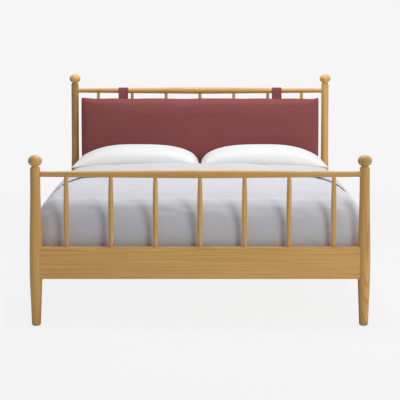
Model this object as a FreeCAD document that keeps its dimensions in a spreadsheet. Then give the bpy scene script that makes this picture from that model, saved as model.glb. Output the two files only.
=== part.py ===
import FreeCAD, Part
import os
import Sketcher
from FreeCAD import Vector

# A spindle bed of king size.  X runs across the bed, Y from foot to head and Z up.
# The origin is on the floor, in the middle of the bed.

doc = FreeCAD.newDocument("spindle_bed")
sheet = doc.addObject("Spreadsheet::Sheet", "sheet")

# Every driving dimension, in millimetres unless its name is a count.
DIMENSIONS = {
    "mattress": {
        "mattress_width": 1500,
        "mattress_length": 2000,
        "mattress_height": 250,
        "mattress_corner_radius": 60,
        "mattress_edge_radius": 22,
        "mattress_side_gap": 11,
        "mattress_head_gap": 5,
        "mattress_foot_gap": 45,
        "bedding_gap": 0.5,
    },
    "posts": {
        "post_foot_diameter": 42.5,
        "post_taper_top": 200,
        "post_taper_diameter": 57.4,
        "post_swell_start": 252,
        "post_swell_end": 300,
        "post_swell_diameter": 59.4,
        "post_slim_height": 700,
        "foot_post_slim_diameter": 47.6,
        "head_post_slim_diameter": 44.6,
        "foot_post_height": 754,
        "head_post_rise": 46.5,
        "post_shoulder_drop": 11,
        "post_shoulder_inset": 6.5,
        "post_base_chamfer": 2,
        "pad_diameter": 34,
        "pad_thickness": 3,
    },
    "finials": {
        "finial_diameter": 67,
        "finial_height": 55,
        "finial_side_radius": 24,
        "finial_neck_diameter": 34,
        "finial_neck_height": 4,
        "finial_tenon_diameter": 16,
        "finial_tenon_length": 30,
    },
    "top rails": {
        "foot_top_rail_height": 719,
        "top_rail_middle_diameter": 39.5,
        "top_rail_end_diameter": 26.2,
        "top_rail_crown_length": 240,
        "top_rail_seat": 30,
        "top_rail_stop": 8,
    },
    "lower rails": {
        "lower_rail_bottom": 223.5,
        "lower_rail_depth": 150,
        "end_rail_thickness": 40,
        "end_rail_shoulder": 20,
        "end_rail_tenon_thickness": 20,
        "end_rail_tenon_depth": 105,
        "end_rail_tenon_stop": 6,
        "side_rail_thickness": 28,
        "side_rail_shoulder": 25,
        "rail_edge_radius": 3,
    },
    "spindles": {
        "spindle_count": 7,
        "spindle_end_gap": 145,
        "spindle_top_diameter": 18.5,
        "spindle_belly_diameter": 25,
        "spindle_bottom_diameter": 17.5,
        "foot_spindle_belly_rise": 177,
        "head_spindle_belly_rise": 345,
        "spindle_tenon_length": 15,
        "spindle_top_seat": 2,
    },
    "mattress support": {
        "platform_height": 320,
        "slat_count": 12,
        "slat_width": 90,
        "slat_thickness": 20,
        "slat_end_gap": 2,
        "slat_edge_radius": 3,
        "ledge_width": 22,
        "ledge_depth": 40,
        "ledge_end_gap": 11,
        "ledge_screw_count": 8,
        "ledge_screw_inset": 60,
        "centre_rail_width": 45,
        "centre_rail_depth": 70,
        "centre_rail_end_gap": 1,
        "hanger_thickness": 2,
        "hanger_length": 42,
        "hanger_plate_width": 112,
        "hanger_side_gap": 0.5,
        "hanger_screw_offset": 43,
        "hanger_screw_edge": 16,
        "centre_leg_width": 45,
        "centre_leg_chamfer": 3,
        "centre_leg_offset": 225,
        "centre_leg_tenon_diameter": 25,
        "centre_leg_tenon_length": 35,
        "glide_diameter": 30,
        "glide_height": 8,
        "glide_stem_diameter": 8,
        "glide_stem_length": 22,
    },
    "fittings": {
        "wood_fit": 0.1,
        "screw_fit": 0.1,
        "plate_hole_fit": 0.4,
        "cut_margin": 1,
        "bore_end_gap": 1,
        "stud_diameter": 8,
        "stud_fit": 0.4,
        "stud_stop": 2,
        "stud_low_height": 38,
        "stud_spacing": 74,
        "nut_setback": 30,
        "nut_recess_length": 24,
        "nut_recess_height": 30,
        "nut_recess_depth": 22,
        "washer_thickness": 3,
        "washer_width": 16,
        "washer_height": 22,
        "washer_shoulder": 2,
        "washer_rim": 3,
        "nut_width": 13,
        "nut_thickness": 6.5,
        "stud_tip": 3,
        "screw_diameter": 4,
        "screw_head_diameter": 8,
        "screw_head_height": 2.5,
        "ledge_screw_bite": 18,
        "hanger_screw_bite": 24,
    },
    "headboard cushion": {
        "cushion_width": 1474,
        "cushion_height": 385,
        "cushion_thickness": 80,
        "cushion_edge_radius": 30,
        "cushion_rise": 17.5,
        "cushion_drop": 45,
        "cushion_back_gap": 6.5,
        "strap_width": 58,
        "strap_spindle_offset": 55,
        "strap_thickness": 3,
        "strap_rail_gap": 0.8,
        "strap_seam_depth": 18,
        "strap_seam_sink": 6,
        "strap_tail_drop": 45,
        "strap_tail_length": 52,
        "press_stud_diameter": 12,
        "press_stud_height": 2,
        "press_stud_spacing": 28,
        "press_stud_edge": 12,
    },
    "duvet": {
        "duvet_thickness": 27,
        "duvet_side_drop": 285,
        "duvet_side_clear": 23,
        "duvet_shoulder_radius": 105,
        "duvet_foot_clear": 20,
        "duvet_foot_drop": 335,
        "duvet_foot_radius": 68,
        "duvet_rail_gap": 6,
        "duvet_corner_length": 95,
        "fold_thickness": 25,
        "fold_depth": 300,
        "fold_corner_depth": 640,
        "fold_inset": 4,
    },
    "pillows": {
        "pillow_width": 746,
        "pillow_length": 485,
        "pillow_height": 140,
        "pillow_middle_gap": 8,
        "pillow_head_gap": 62,
        "pillow_fold_gap": 8,
        "pillow_corner_radius": 90,
        "pillow_top_radius": 66,
        "pillow_bottom_radius": 50,
    },
}


def fill_sheet():
    """Write each dimension to a cell of its own and give the cell the dimension's name."""
    row = 1
    for group, sizes in DIMENSIONS.items():
        sheet.set(f"A{row}", group)
        for name, size in sizes.items():
            row += 1
            sheet.set(f"A{row}", name)
            sheet.set(f"B{row}", str(size))
            sheet.setAlias(f"B{row}", name)
        row += 2
    doc.recompute()


fill_sheet()


# Places that several pieces share, as formulas of the sheet's cells.
POST_X = "(sheet.mattress_width / 2 + sheet.mattress_side_gap + sheet.side_rail_thickness / 2)"
INNER_LENGTH = "(sheet.mattress_length + sheet.mattress_head_gap + sheet.mattress_foot_gap)"
POST_Y = f"({INNER_LENGTH} / 2 + sheet.end_rail_thickness / 2)"
RAIL_BOTTOM = "sheet.lower_rail_bottom"
RAIL_TOP = "(sheet.lower_rail_bottom + sheet.lower_rail_depth)"
RAIL_MIDDLE = "(sheet.lower_rail_bottom + sheet.lower_rail_depth / 2)"
MATTRESS_BOTTOM = "(sheet.platform_height + sheet.bedding_gap)"
MATTRESS_TOP = f"({MATTRESS_BOTTOM} + sheet.mattress_height)"
MATTRESS_HEAD = f"({INNER_LENGTH} / 2 - sheet.mattress_head_gap)"
MATTRESS_FOOT = f"({INNER_LENGTH} / 2 - sheet.mattress_foot_gap)"
BED_TOP = f"({MATTRESS_TOP} + sheet.bedding_gap)"
CUSHION_BOTTOM = f"({MATTRESS_TOP} + sheet.cushion_rise)"
CUSHION_TOP = f"({CUSHION_BOTTOM} + sheet.cushion_height)"
CUSHION_BACK = f"({POST_Y} - sheet.spindle_belly_diameter / 2 - sheet.cushion_back_gap)"
CUSHION_FRONT = f"({CUSHION_BACK} - sheet.cushion_thickness)"
HEAD_RAIL_Z = f"({CUSHION_TOP} + sheet.cushion_drop)"
FOOT_RAIL_Z = "sheet.foot_top_rail_height"
HEAD_POST_TOP = f"({HEAD_RAIL_Z} + sheet.head_post_rise)"
FOOT_POST_TOP = "sheet.foot_post_height"
SLAT_BOTTOM = "(sheet.platform_height - sheet.slat_thickness)"
CENTRE_RAIL_BOTTOM = f"({SLAT_BOTTOM} - sheet.centre_rail_depth)"
SIDE_RAIL_END = f"({POST_Y} - sheet.side_rail_shoulder)"
NUT_FACE = f"({SIDE_RAIL_END} - sheet.nut_setback)"
STUD_LOW = f"({RAIL_BOTTOM} + sheet.stud_low_height)"
SIDE_RAIL_INNER = f"({POST_X} - sheet.side_rail_thickness / 2)"
LEDGE_END = f"({NUT_FACE} - sheet.nut_recess_length - sheet.ledge_end_gap)"
PILLOW_BACK = f"({CUSHION_FRONT} - sheet.pillow_head_gap)"
PILLOW_FRONT = f"({PILLOW_BACK} - sheet.pillow_length)"
FOLD_LINE = f"({PILLOW_FRONT} - sheet.pillow_fold_gap)"
SPINDLE_FIRST = f"-({POST_X} - sheet.spindle_end_gap)"
SPINDLE_SPAN = f"(2 * ({POST_X} - sheet.spindle_end_gap))"
SPINDLE_STEP = f"({SPINDLE_SPAN} / (sheet.spindle_count - 1))"
# Each strap hangs just outside the second spindle from the middle.
STRAP_X = f"(2 * {SPINDLE_STEP} + sheet.strap_spindle_offset)"
LEDGE_SCREW_END = f"({LEDGE_END} - sheet.ledge_screw_inset)"
LEDGE_SCREW_Z = f"({SLAT_BOTTOM} - sheet.ledge_depth / 2)"
CENTRE_RAIL_END = f"({INNER_LENGTH} / 2 - sheet.hanger_thickness - sheet.centre_rail_end_gap)"
HANGER_SCREW_LOW = f"({CENTRE_RAIL_BOTTOM} + sheet.hanger_screw_edge)"
HANGER_SCREW_HIGH = f"({SLAT_BOTTOM} - sheet.hanger_screw_edge)"
HANGER_SCREWS = [
    (f"{sign}sheet.hanger_screw_offset", height)
    for sign in ("-", "") for height in (HANGER_SCREW_LOW, HANGER_SCREW_HIGH)
]
STUD_HEIGHTS = (STUD_LOW, f"({STUD_LOW} + sheet.stud_spacing)")

# Halfway round a quarter circle: how far the arc has run along a side, and how far it still is
# from the corner, as shares of the radius.
ARC_RUN = "sqrt(0.5)"
ARC_LEAN = "(1 - sqrt(0.5))"

SIDES = [("left", -1), ("right", 1)]

cuts = []
finished = []


def value(formula):
    """The number that a formula of the sheet gives now."""
    return float(sheet.evalExpression(formula))


def through(x, y):
    """A point on the arc that joins the corners on either side of it."""
    return ("through", x, y)


def new_body(label, x="0", y="0", z="0"):
    body = doc.addObject("PartDesign::Body", label)
    body.Label = label
    for axis, formula in (("x", x), ("y", y), ("z", z)):
        if formula != "0":
            body.setExpression(f"Placement.Base.{axis}", formula)
    finished.append(body)
    return body


def origin_plane(body, role):
    return next(item for item in body.Origin.OriginFeatures if item.Role == role)


def new_sketch(body, name, plane, offset="0"):
    """A sketch on one of the body's origin planes, moved along that plane's axis by offset."""
    sketch = body.newObject("Sketcher::SketchObject", f"{body.Label}_{name}")
    sketch.AttachmentSupport = [(origin_plane(body, plane), "")]
    sketch.MapMode = "FlatFace"
    if offset != "0":
        along = f"-({offset})" if plane == "XZ_Plane" else offset
        sketch.setExpression("AttachmentOffset.Base.z", along)
    return sketch


def pin(sketch, geometry, end, x, y):
    """Hold one point of a sketch at two formulas."""
    point = sketch.getPoint(geometry, end)
    for kind, formula, now in (("DistanceX", x, point.x), ("DistanceY", y, point.y)):
        number = sketch.addConstraint(Sketcher.Constraint(kind, -1, 1, geometry, end, now))
        sketch.setExpression(f"Constraints[{number}]", formula)


def draw_outline(sketch, corners):
    """Draw a closed outline of lines, and of arcs where a through point stands between corners."""
    points = []
    arcs = {}
    for item in corners:
        if item[0] == "through":
            arcs[len(points) - 1] = item[1:]
        else:
            points.append(item)
    spots = [Vector(value(x), value(y), 0) for x, y in points]
    first = sketch.GeometryCount
    for number, start in enumerate(spots):
        end = spots[(number + 1) % len(spots)]
        if number in arcs:
            x, y = arcs[number]
            sketch.addGeometry(Part.Arc(start, Vector(value(x), value(y), 0), end))
        else:
            sketch.addGeometry(Part.LineSegment(start, end))

    def end_at(geometry, spot):
        near_start = (sketch.getPoint(geometry, 1) - spot).Length
        near_end = (sketch.getPoint(geometry, 2) - spot).Length
        return 1 if near_start < near_end else 2

    for number, (x, y) in enumerate(points):
        here = first + number
        before = first + (number - 1) % len(points)
        spot = spots[number]
        sketch.addConstraint(
            Sketcher.Constraint("Coincident", before, end_at(before, spot), here, end_at(here, spot)))
        pin(sketch, here, end_at(here, spot), x, y)
    for number, (x, y) in arcs.items():
        mark = sketch.addGeometry(Part.Point(Vector(value(x), value(y), 0)), True)
        pin(sketch, mark, 1, x, y)
        sketch.addConstraint(Sketcher.Constraint("PointOnObject", mark, 1, first + number))


def draw_rectangle(sketch, x_low, x_high, y_low, y_high):
    draw_outline(sketch, [(x_low, y_low), (x_high, y_low), (x_high, y_high), (x_low, y_high)])


def draw_circle(sketch, x, y, diameter):
    centre = Vector(value(x), value(y), 0)
    circle = sketch.addGeometry(Part.Circle(centre, Vector(0, 0, 1), value(diameter) / 2))
    pin(sketch, circle, 3, x, y)
    number = sketch.addConstraint(Sketcher.Constraint("Diameter", circle, value(diameter)))
    sketch.setExpression(f"Constraints[{number}]", diameter)


def sketch_faces_up(sketch):
    """Whether the sketch's own normal points along its plane's axis: it does but for XZ_Plane."""
    return sketch.AttachmentSupport[0][0].Role != "XZ_Plane"


def extrude(sketch, length, toward=1):
    """Pad a sketch along its plane's axis, or both ways where toward is 0."""
    body = sketch.getParentGeoFeatureGroup()
    feature = body.newObject("PartDesign::Pad", f"{sketch.Name}_pad")
    feature.Profile = sketch
    feature.setExpression("Length", length)
    if toward == 0:
        feature.SideType = "Symmetric"
    else:
        feature.Reversed = (toward > 0) != sketch_faces_up(sketch)
    return feature


def cut(sketch, length, toward=1):
    """Pocket a sketch along its plane's axis, and note the feature so that it is checked."""
    body = sketch.getParentGeoFeatureGroup()
    base = body.Tip
    feature = body.newObject("PartDesign::Pocket", f"{sketch.Name}_cut")
    feature.Profile = sketch
    feature.setExpression("Length", length)
    if toward == 0:
        feature.SideType = "Symmetric"
    else:
        feature.Reversed = (toward > 0) == sketch_faces_up(sketch)
    cuts.append((base, feature))
    return feature


def turn(sketch, axis="V_Axis"):
    """Turn a sketch about one of its own axes, as on a lathe."""
    body = sketch.getParentGeoFeatureGroup()
    feature = body.newObject("PartDesign::Revolution", f"{sketch.Name}_turning")
    feature.Profile = sketch
    feature.ReferenceAxis = (sketch, [axis])
    feature.Angle = 360
    return feature


def turn_at_height(sketch, height):
    """Turn a sketch about the line across it at a height, drawn as a construction line."""
    start = Vector(0, value(height), 0)
    line = sketch.addGeometry(Part.LineSegment(start, start + Vector(value(POST_X), 0, 0)), True)
    pin(sketch, line, 1, "0", height)
    pin(sketch, line, 2, POST_X, height)
    return turn(sketch, "Axis0")


def repeat_along(feature, axis_name, length, count):
    """Copy a feature along an axis of its sketch, over a length, count times in all."""
    body = feature.getParentGeoFeatureGroup()
    pattern = body.newObject("PartDesign::LinearPattern", f"{feature.Name}_row")
    pattern.Originals = [feature]
    pattern.Direction = (feature.Profile[0], [axis_name])
    pattern.setExpression("Length", length)
    pattern.setExpression("Occurrences", count)
    body.Tip = pattern
    cuts.append((feature, pattern))
    return pattern


def mirror_cut(feature, plane):
    """Repeat one cut on the other side of an origin plane."""
    body = feature.getParentGeoFeatureGroup()
    mirrored = body.newObject("PartDesign::Mirrored", f"{feature.Name}_mirrored")
    mirrored.Originals = [feature]
    mirrored.MirrorPlane = (origin_plane(body, plane), [""])
    body.Tip = mirrored
    cuts.append((feature, mirrored))
    return mirrored


def copy_whole(body, plane):
    """Mirror all that the body holds so far, as one more group of the same fasteners."""
    doc.recompute()
    mirrored = body.newObject("PartDesign::Mirrored", f"{body.Label}_{plane}_copy")
    mirrored.TransformMode = "Whole shape"
    mirrored.MirrorPlane = (origin_plane(body, plane), [""])
    body.Tip = mirrored
    return mirrored


def row_whole(body, plane, length, count):
    """Repeat all that the body holds so far over a length, towards the plane's positive axis."""
    doc.recompute()
    pattern = body.newObject("PartDesign::LinearPattern", f"{body.Label}_{plane}_row")
    pattern.TransformMode = "Whole shape"
    pattern.Direction = (origin_plane(body, plane), [""])
    pattern.setExpression("Length", length)
    pattern.setExpression("Occurrences", count)
    pattern.Reversed = plane == "XZ_Plane"
    body.Tip = pattern
    return pattern


def edges_where(feature, test):
    """Names of the edges of a feature that pass a test."""
    doc.recompute()
    return [f"Edge{number}" for number, edge in enumerate(feature.Shape.Edges, 1) if test(edge)]


def round_edges(feature, test, radius):
    body = feature.getParentGeoFeatureGroup()
    names = edges_where(feature, test)
    fillet = body.newObject("PartDesign::Fillet", f"{feature.Name}_round")
    fillet.Base = (feature, names)
    fillet.setExpression("Radius", radius)
    return fillet


def runs_along(axis):
    """A test for straight edges that run along an axis."""
    def test(edge):
        if not isinstance(edge.Curve, Part.Line):
            return False
        return abs(edge.Curve.Direction.dot(axis)) > 0.999
    return test


NEAR = 0.01  # two places closer than this are one
ALONG_X = runs_along(Vector(1, 0, 0))
ALONG_Y = runs_along(Vector(0, 1, 0))
ALONG_Z = runs_along(Vector(0, 0, 1))


def level_edge(height):
    """A test for edges that lie wholly at one height."""
    def test(edge):
        return abs(edge.BoundBox.ZMin - height) < NEAR and abs(edge.BoundBox.ZMax - height) < NEAR
    return test


# ---------------------------------------------------------------- corner posts and finials

def post_outline(slim_diameter, top):
    """Half the outline of a turned post: a tapered foot, a swell at the rails and a slim neck."""
    slim = f"{slim_diameter} / 2"
    swell = "sheet.post_swell_diameter / 2"
    foot = "sheet.post_foot_diameter / 2"
    taper = "sheet.post_taper_diameter / 2"
    base = "sheet.pad_thickness"
    chamfer = "sheet.post_base_chamfer"
    start, end = "sheet.post_swell_start", "sheet.post_swell_end"
    drop, inset = "sheet.post_shoulder_drop", "sheet.post_shoulder_inset"
    return [
        ("0", base),
        (f"{foot} - {chamfer}", base),
        (foot, f"{base} + {chamfer}"),
        (taper, "sheet.post_taper_top"),
        through(f"({taper} + 3 * {swell}) / 4", f"(sheet.post_taper_top + {start}) / 2"),
        (swell, start),
        (swell, end),
        through(f"(7 * {swell} + {slim}) / 8", f"(3 * {end} + sheet.post_slim_height) / 4"),
        (f"({swell} + {slim}) / 2", f"({end} + sheet.post_slim_height) / 2"),
        through(f"({swell} + 7 * {slim}) / 8", f"({end} + 3 * sheet.post_slim_height) / 4"),
        (slim, "sheet.post_slim_height"),
        (slim, f"{top} - {drop}"),
        through(f"{slim} - {ARC_LEAN} * {inset}", f"{top} - {ARC_LEAN} * {drop}"),
        (f"{slim} - {inset}", top),
        ("0", top),
    ]


def make_post(end_name, side_name, x_side, y_side, slim_diameter, top, rail_height):
    """One corner post, with a mortise for each rail, bores for the studs and the finial's socket."""
    post = new_body(f"{end_name}_post_{side_name}", f"{x_side} * {POST_X}", f"{y_side} * {POST_Y}")
    profile = new_sketch(post, "profile", "XZ_Plane")
    draw_outline(profile, post_outline(slim_diameter, top))
    turn(profile)
    inward_x, inward_y = -x_side, -y_side
    gap = "sheet.bore_end_gap"
    fit = "sheet.wood_fit"

    socket = new_sketch(post, "finial_socket", "XY_Plane", f"{top} - sheet.finial_tenon_length - {gap}")
    draw_circle(socket, "0", "0", f"sheet.finial_tenon_diameter + 2 * {fit}")
    cut(socket, f"sheet.finial_tenon_length + 2 * {gap}")

    bore = new_sketch(post, "rail_bore", "YZ_Plane", f"{inward_x} * (sheet.top_rail_stop - {gap})")
    draw_circle(bore, "0", rail_height, f"sheet.top_rail_end_diameter + 2 * {fit}")
    cut(bore, "sheet.post_swell_diameter", inward_x)

    housing = new_sketch(post, "rail_housing", "YZ_Plane", f"{inward_x} * sheet.end_rail_shoulder")
    half = f"(sheet.end_rail_thickness / 2 + {fit})"
    draw_rectangle(housing, f"-{half}", half, f"{RAIL_BOTTOM} - {fit}", f"{RAIL_TOP} + {fit}")
    cut(housing, "sheet.post_swell_diameter", inward_x)

    mortise = new_sketch(post, "rail_mortise", "YZ_Plane",
                         f"{inward_x} * (sheet.end_rail_tenon_stop - {gap})")
    half = f"(sheet.end_rail_tenon_thickness / 2 + {fit})"
    rise = f"(sheet.end_rail_tenon_depth / 2 + {fit})"
    draw_rectangle(mortise, f"-{half}", half, f"{RAIL_MIDDLE} - {rise}", f"{RAIL_MIDDLE} + {rise}")
    cut(mortise, "sheet.post_swell_diameter", inward_x)

    housing = new_sketch(post, "side_housing", "XZ_Plane", f"{inward_y} * sheet.side_rail_shoulder")
    half = f"(sheet.side_rail_thickness / 2 + {fit})"
    draw_rectangle(housing, f"-{half}", half, f"{RAIL_BOTTOM} - {fit}", f"{RAIL_TOP} + {fit}")
    cut(housing, "sheet.post_swell_diameter", inward_y)

    bores = new_sketch(post, "stud_bores", "XZ_Plane", f"{inward_y} * (sheet.stud_stop - {gap})")
    for height in STUD_HEIGHTS:
        draw_circle(bores, "0", height, f"sheet.stud_diameter + {fit}")
    cut(bores, "sheet.post_swell_diameter", inward_y)


def make_finial(end_name, side_name, x_side, y_side, post_top):
    """A flattened ball on a short neck, with a tenon below that plugs into the post."""
    finial = new_body(f"{end_name}_finial_{side_name}",
                      f"{x_side} * {POST_X}", f"{y_side} * {POST_Y}", post_top)
    half_width = "sheet.finial_diameter / 2"
    half_height = "(sheet.finial_height / 2)"
    side = "sheet.finial_side_radius"
    reach = f"({half_width} - {side})"
    lift = f"(({reach}^2 - ({half_height} - {side})^2) / (2 * ({half_height} - {side})))"
    crown = f"({half_height} + {lift})"
    neck = "(sheet.finial_neck_diameter / 2)"
    centre = f"(sheet.finial_neck_height + sqrt({crown}^2 - {neck}^2) - {lift})"
    join_x = f"({reach} * {crown} / ({crown} - {side}))"
    join_z = f"({lift} * {side} / ({crown} - {side}))"
    low_x = f"(({neck} + {join_x}) / 2)"
    tenon = "sheet.finial_tenon_diameter / 2"
    profile = new_sketch(finial, "profile", "XZ_Plane")
    draw_outline(profile, [
        ("0", "-sheet.finial_tenon_length"),
        (tenon, "-sheet.finial_tenon_length"),
        (tenon, "0"),
        (neck, "0"),
        (neck, "sheet.finial_neck_height"),
        through(low_x, f"{centre} - sqrt({crown}^2 - {low_x}^2) + {lift}"),
        (join_x, f"{centre} - {join_z}"),
        through(half_width, centre),
        (join_x, f"{centre} + {join_z}"),
        through(f"{join_x} / 2", f"{centre} + sqrt({crown}^2 - ({join_x} / 2)^2) - {lift}"),
        ("0", f"{centre} + {half_height}"),
    ])
    turn(profile)


# ---------------------------------------------------------------- rails and spindles

def crown_radius():
    """Radius of a top rail where its straight taper meets the rounded middle."""
    middle, end = "sheet.top_rail_middle_diameter / 2", "sheet.top_rail_end_diameter / 2"
    half_crown = "sheet.top_rail_crown_length / 2"
    taper_length = f"({POST_X} - sheet.top_rail_seat - {half_crown} / 2)"
    return f"({middle} - ({middle} - {end}) / {taper_length} * {half_crown} / 2)"


def make_top_rail(end_name, y_side, height):
    """A turned rail, thickest in the middle, with blind holes for the spindles in its underside."""
    rail = new_body(f"{end_name}_top_rail", "0", f"{y_side} * {POST_Y}", height)
    end_radius = "sheet.top_rail_end_diameter / 2"
    tip = f"({POST_X} - sheet.top_rail_stop)"
    seat = f"({POST_X} - sheet.top_rail_seat)"
    half_crown = "sheet.top_rail_crown_length / 2"
    profile = new_sketch(rail, "profile", "XZ_Plane")
    draw_outline(profile, [
        (f"-{tip}", "0"),
        (f"-{tip}", end_radius),
        (f"-{seat}", end_radius),
        (f"-{half_crown}", crown_radius()),
        through("0", "sheet.top_rail_middle_diameter / 2"),
        (half_crown, crown_radius()),
        (seat, end_radius),
        (tip, end_radius),
        (tip, "0"),
    ])
    turn(profile, "H_Axis")
    hole = new_sketch(rail, "spindle_hole", "XY_Plane", "-sheet.spindle_top_seat + sheet.bore_end_gap")
    draw_circle(hole, SPINDLE_FIRST, "0", "sheet.spindle_top_diameter + 2 * sheet.wood_fit")
    first = cut(hole, "sheet.top_rail_middle_diameter", -1)
    repeat_along(first, "H_Axis", SPINDLE_SPAN, "sheet.spindle_count")


def make_lower_rail(end_name, y_side):
    """A plank between two posts, with tenons, spindle holes on top and bores for a hanger's screws."""
    rail = new_body(f"{end_name}_lower_rail", "0", f"{y_side} * {POST_Y}")
    board = new_sketch(rail, "board", "YZ_Plane")
    half = "sheet.end_rail_thickness / 2"
    draw_rectangle(board, f"-{half}", half, RAIL_BOTTOM, RAIL_TOP)
    plank = extrude(board, f"2 * ({POST_X} - sheet.end_rail_shoulder)", 0)
    round_edges(plank, ALONG_X, "sheet.rail_edge_radius")

    tenon = new_sketch(rail, "tenon", "YZ_Plane")
    half = "sheet.end_rail_tenon_thickness / 2"
    rise = "sheet.end_rail_tenon_depth / 2"
    draw_rectangle(tenon, f"-{half}", half, f"{RAIL_MIDDLE} - {rise}", f"{RAIL_MIDDLE} + {rise}")
    extrude(tenon, f"2 * ({POST_X} - sheet.end_rail_tenon_stop)", 0)

    hole = new_sketch(rail, "spindle_hole", "XY_Plane",
                      f"{RAIL_TOP} - sheet.spindle_tenon_length - sheet.bore_end_gap")
    draw_circle(hole, SPINDLE_FIRST, "0", "sheet.spindle_bottom_diameter + 2 * sheet.wood_fit")
    first = cut(hole, "sheet.lower_rail_depth")
    repeat_along(first, "H_Axis", SPINDLE_SPAN, "sheet.spindle_count")

    inward = -y_side
    bottom = "sheet.end_rail_thickness / 2 - sheet.hanger_screw_bite - sheet.bore_end_gap"
    bores = new_sketch(rail, "screw_bores", "XZ_Plane", f"{inward} * ({bottom})")
    for x, height in HANGER_SCREWS:
        draw_circle(bores, x, height, "sheet.screw_diameter + sheet.screw_fit")
    cut(bores, "sheet.end_rail_thickness", inward)


def make_spindle(end_name, number, y_side, rail_height, belly_rise):
    """A slim turned spindle that swells between its two plain ends."""
    x = f"{SPINDLE_FIRST} + {number - 1} * {SPINDLE_STEP}"
    spindle = new_body(f"{end_name}_spindle_{number}", x, f"{y_side} * {POST_Y}")
    low, high = "sheet.spindle_bottom_diameter / 2", "sheet.spindle_top_diameter / 2"
    belly = "sheet.spindle_belly_diameter / 2"
    foot = f"({RAIL_TOP} - sheet.spindle_tenon_length)"
    tip = f"({rail_height} - sheet.spindle_top_seat)"
    neck = f"({rail_height} - sheet.top_rail_middle_diameter / 2)"
    middle = f"({RAIL_TOP} + {belly_rise})"
    profile = new_sketch(spindle, "profile", "XZ_Plane")
    draw_outline(profile, [
        ("0", foot),
        (low, foot),
        (low, RAIL_TOP),
        through(f"({low} + 3 * {belly}) / 4", f"({RAIL_TOP} + {middle}) / 2"),
        (belly, middle),
        through(f"({high} + 3 * {belly}) / 4", f"({neck} + {middle}) / 2"),
        (high, neck),
        (high, tip),
        ("0", tip),
    ])
    turn(profile)


def make_side_rail(side_name, x_side):
    """A long plank housed in two posts, with recesses on its inner face for the nuts."""
    rail = new_body(f"side_rail_{side_name}", f"{x_side} * {POST_X}")
    board = new_sketch(rail, "board", "XZ_Plane")
    half = "sheet.side_rail_thickness / 2"
    draw_rectangle(board, f"-{half}", half, RAIL_BOTTOM, RAIL_TOP)
    plank = extrude(board, f"2 * {SIDE_RAIL_END}", 0)
    round_edges(plank, ALONG_Y, "sheet.rail_edge_radius")

    bores = new_sketch(rail, "stud_bores", "XZ_Plane", NUT_FACE)
    for height in STUD_HEIGHTS:
        draw_circle(bores, "0", height, "sheet.stud_diameter + 2 * sheet.stud_fit")
    mirror_cut(cut(bores, "2 * sheet.nut_setback", 1), "XZ_Plane")

    inward = -x_side
    floor = "(sheet.side_rail_thickness / 2 - sheet.nut_recess_depth)"
    recess = new_sketch(rail, "nut_recess", "YZ_Plane", f"{inward} * {floor}")
    back = f"({NUT_FACE} - sheet.nut_recess_length)"
    shoulder = f"({NUT_FACE} - sheet.nut_recess_length / 3)"
    rise = "sheet.nut_recess_height / 2"
    for height in STUD_HEIGHTS:
        draw_outline(recess, [
            (NUT_FACE, f"{height} - {rise}"),
            (NUT_FACE, f"{height} + {rise}"),
            (shoulder, f"{height} + {rise}"),
            through(back, height),
            (shoulder, f"{height} - {rise}"),
        ])
    mirror_cut(cut(recess, "sheet.side_rail_thickness", inward), "XZ_Plane")

    floor = "sheet.side_rail_thickness / 2 - sheet.ledge_screw_bite - sheet.bore_end_gap"
    bore = new_sketch(rail, "screw_bore", "YZ_Plane", f"{inward} * ({floor})")
    draw_circle(bore, f"-{LEDGE_SCREW_END}", LEDGE_SCREW_Z, "sheet.screw_diameter + sheet.screw_fit")
    first = cut(bore, "sheet.side_rail_thickness", inward)
    repeat_along(first, "H_Axis", f"2 * {LEDGE_SCREW_END}", "sheet.ledge_screw_count")


# ---------------------------------------------------------------- mattress support

def make_ledge(side_name, x_side):
    """A batten screwed to a side rail, on which the slats rest."""
    ledge = new_body(f"slat_ledge_{side_name}", f"{x_side} * ({SIDE_RAIL_INNER} - sheet.ledge_width / 2)")
    section = new_sketch(ledge, "section", "XZ_Plane")
    half = "sheet.ledge_width / 2"
    draw_rectangle(section, f"-{half}", half, f"{SLAT_BOTTOM} - sheet.ledge_depth", SLAT_BOTTOM)
    extrude(section, f"2 * {LEDGE_END}", 0)
    bore = new_sketch(ledge, "screw_bore", "YZ_Plane")
    draw_circle(bore, f"-{LEDGE_SCREW_END}", LEDGE_SCREW_Z, "sheet.screw_diameter + sheet.screw_fit")
    first = cut(bore, "2 * sheet.ledge_width", 0)
    repeat_along(first, "H_Axis", f"2 * {LEDGE_SCREW_END}", "sheet.ledge_screw_count")


def make_slat(number):
    """One flat slat with its upper edges eased."""
    gap = f"(({INNER_LENGTH} - sheet.slat_count * sheet.slat_width) / (sheet.slat_count + 1))"
    y = f"-{INNER_LENGTH} / 2 + {number} * {gap} + {number - 0.5} * sheet.slat_width"
    slat = new_body(f"slat_{number}", "0", y)
    board = new_sketch(slat, "board", "XY_Plane", SLAT_BOTTOM)
    half_length = f"({SIDE_RAIL_INNER} - sheet.slat_end_gap)"
    half = "sheet.slat_width / 2"
    draw_rectangle(board, f"-{half_length}", half_length, f"-{half}", half)
    plank = extrude(board, "sheet.slat_thickness")
    top = value("sheet.platform_height")
    round_edges(plank, lambda edge: ALONG_X(edge) and level_edge(top)(edge), "sheet.slat_edge_radius")


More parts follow.
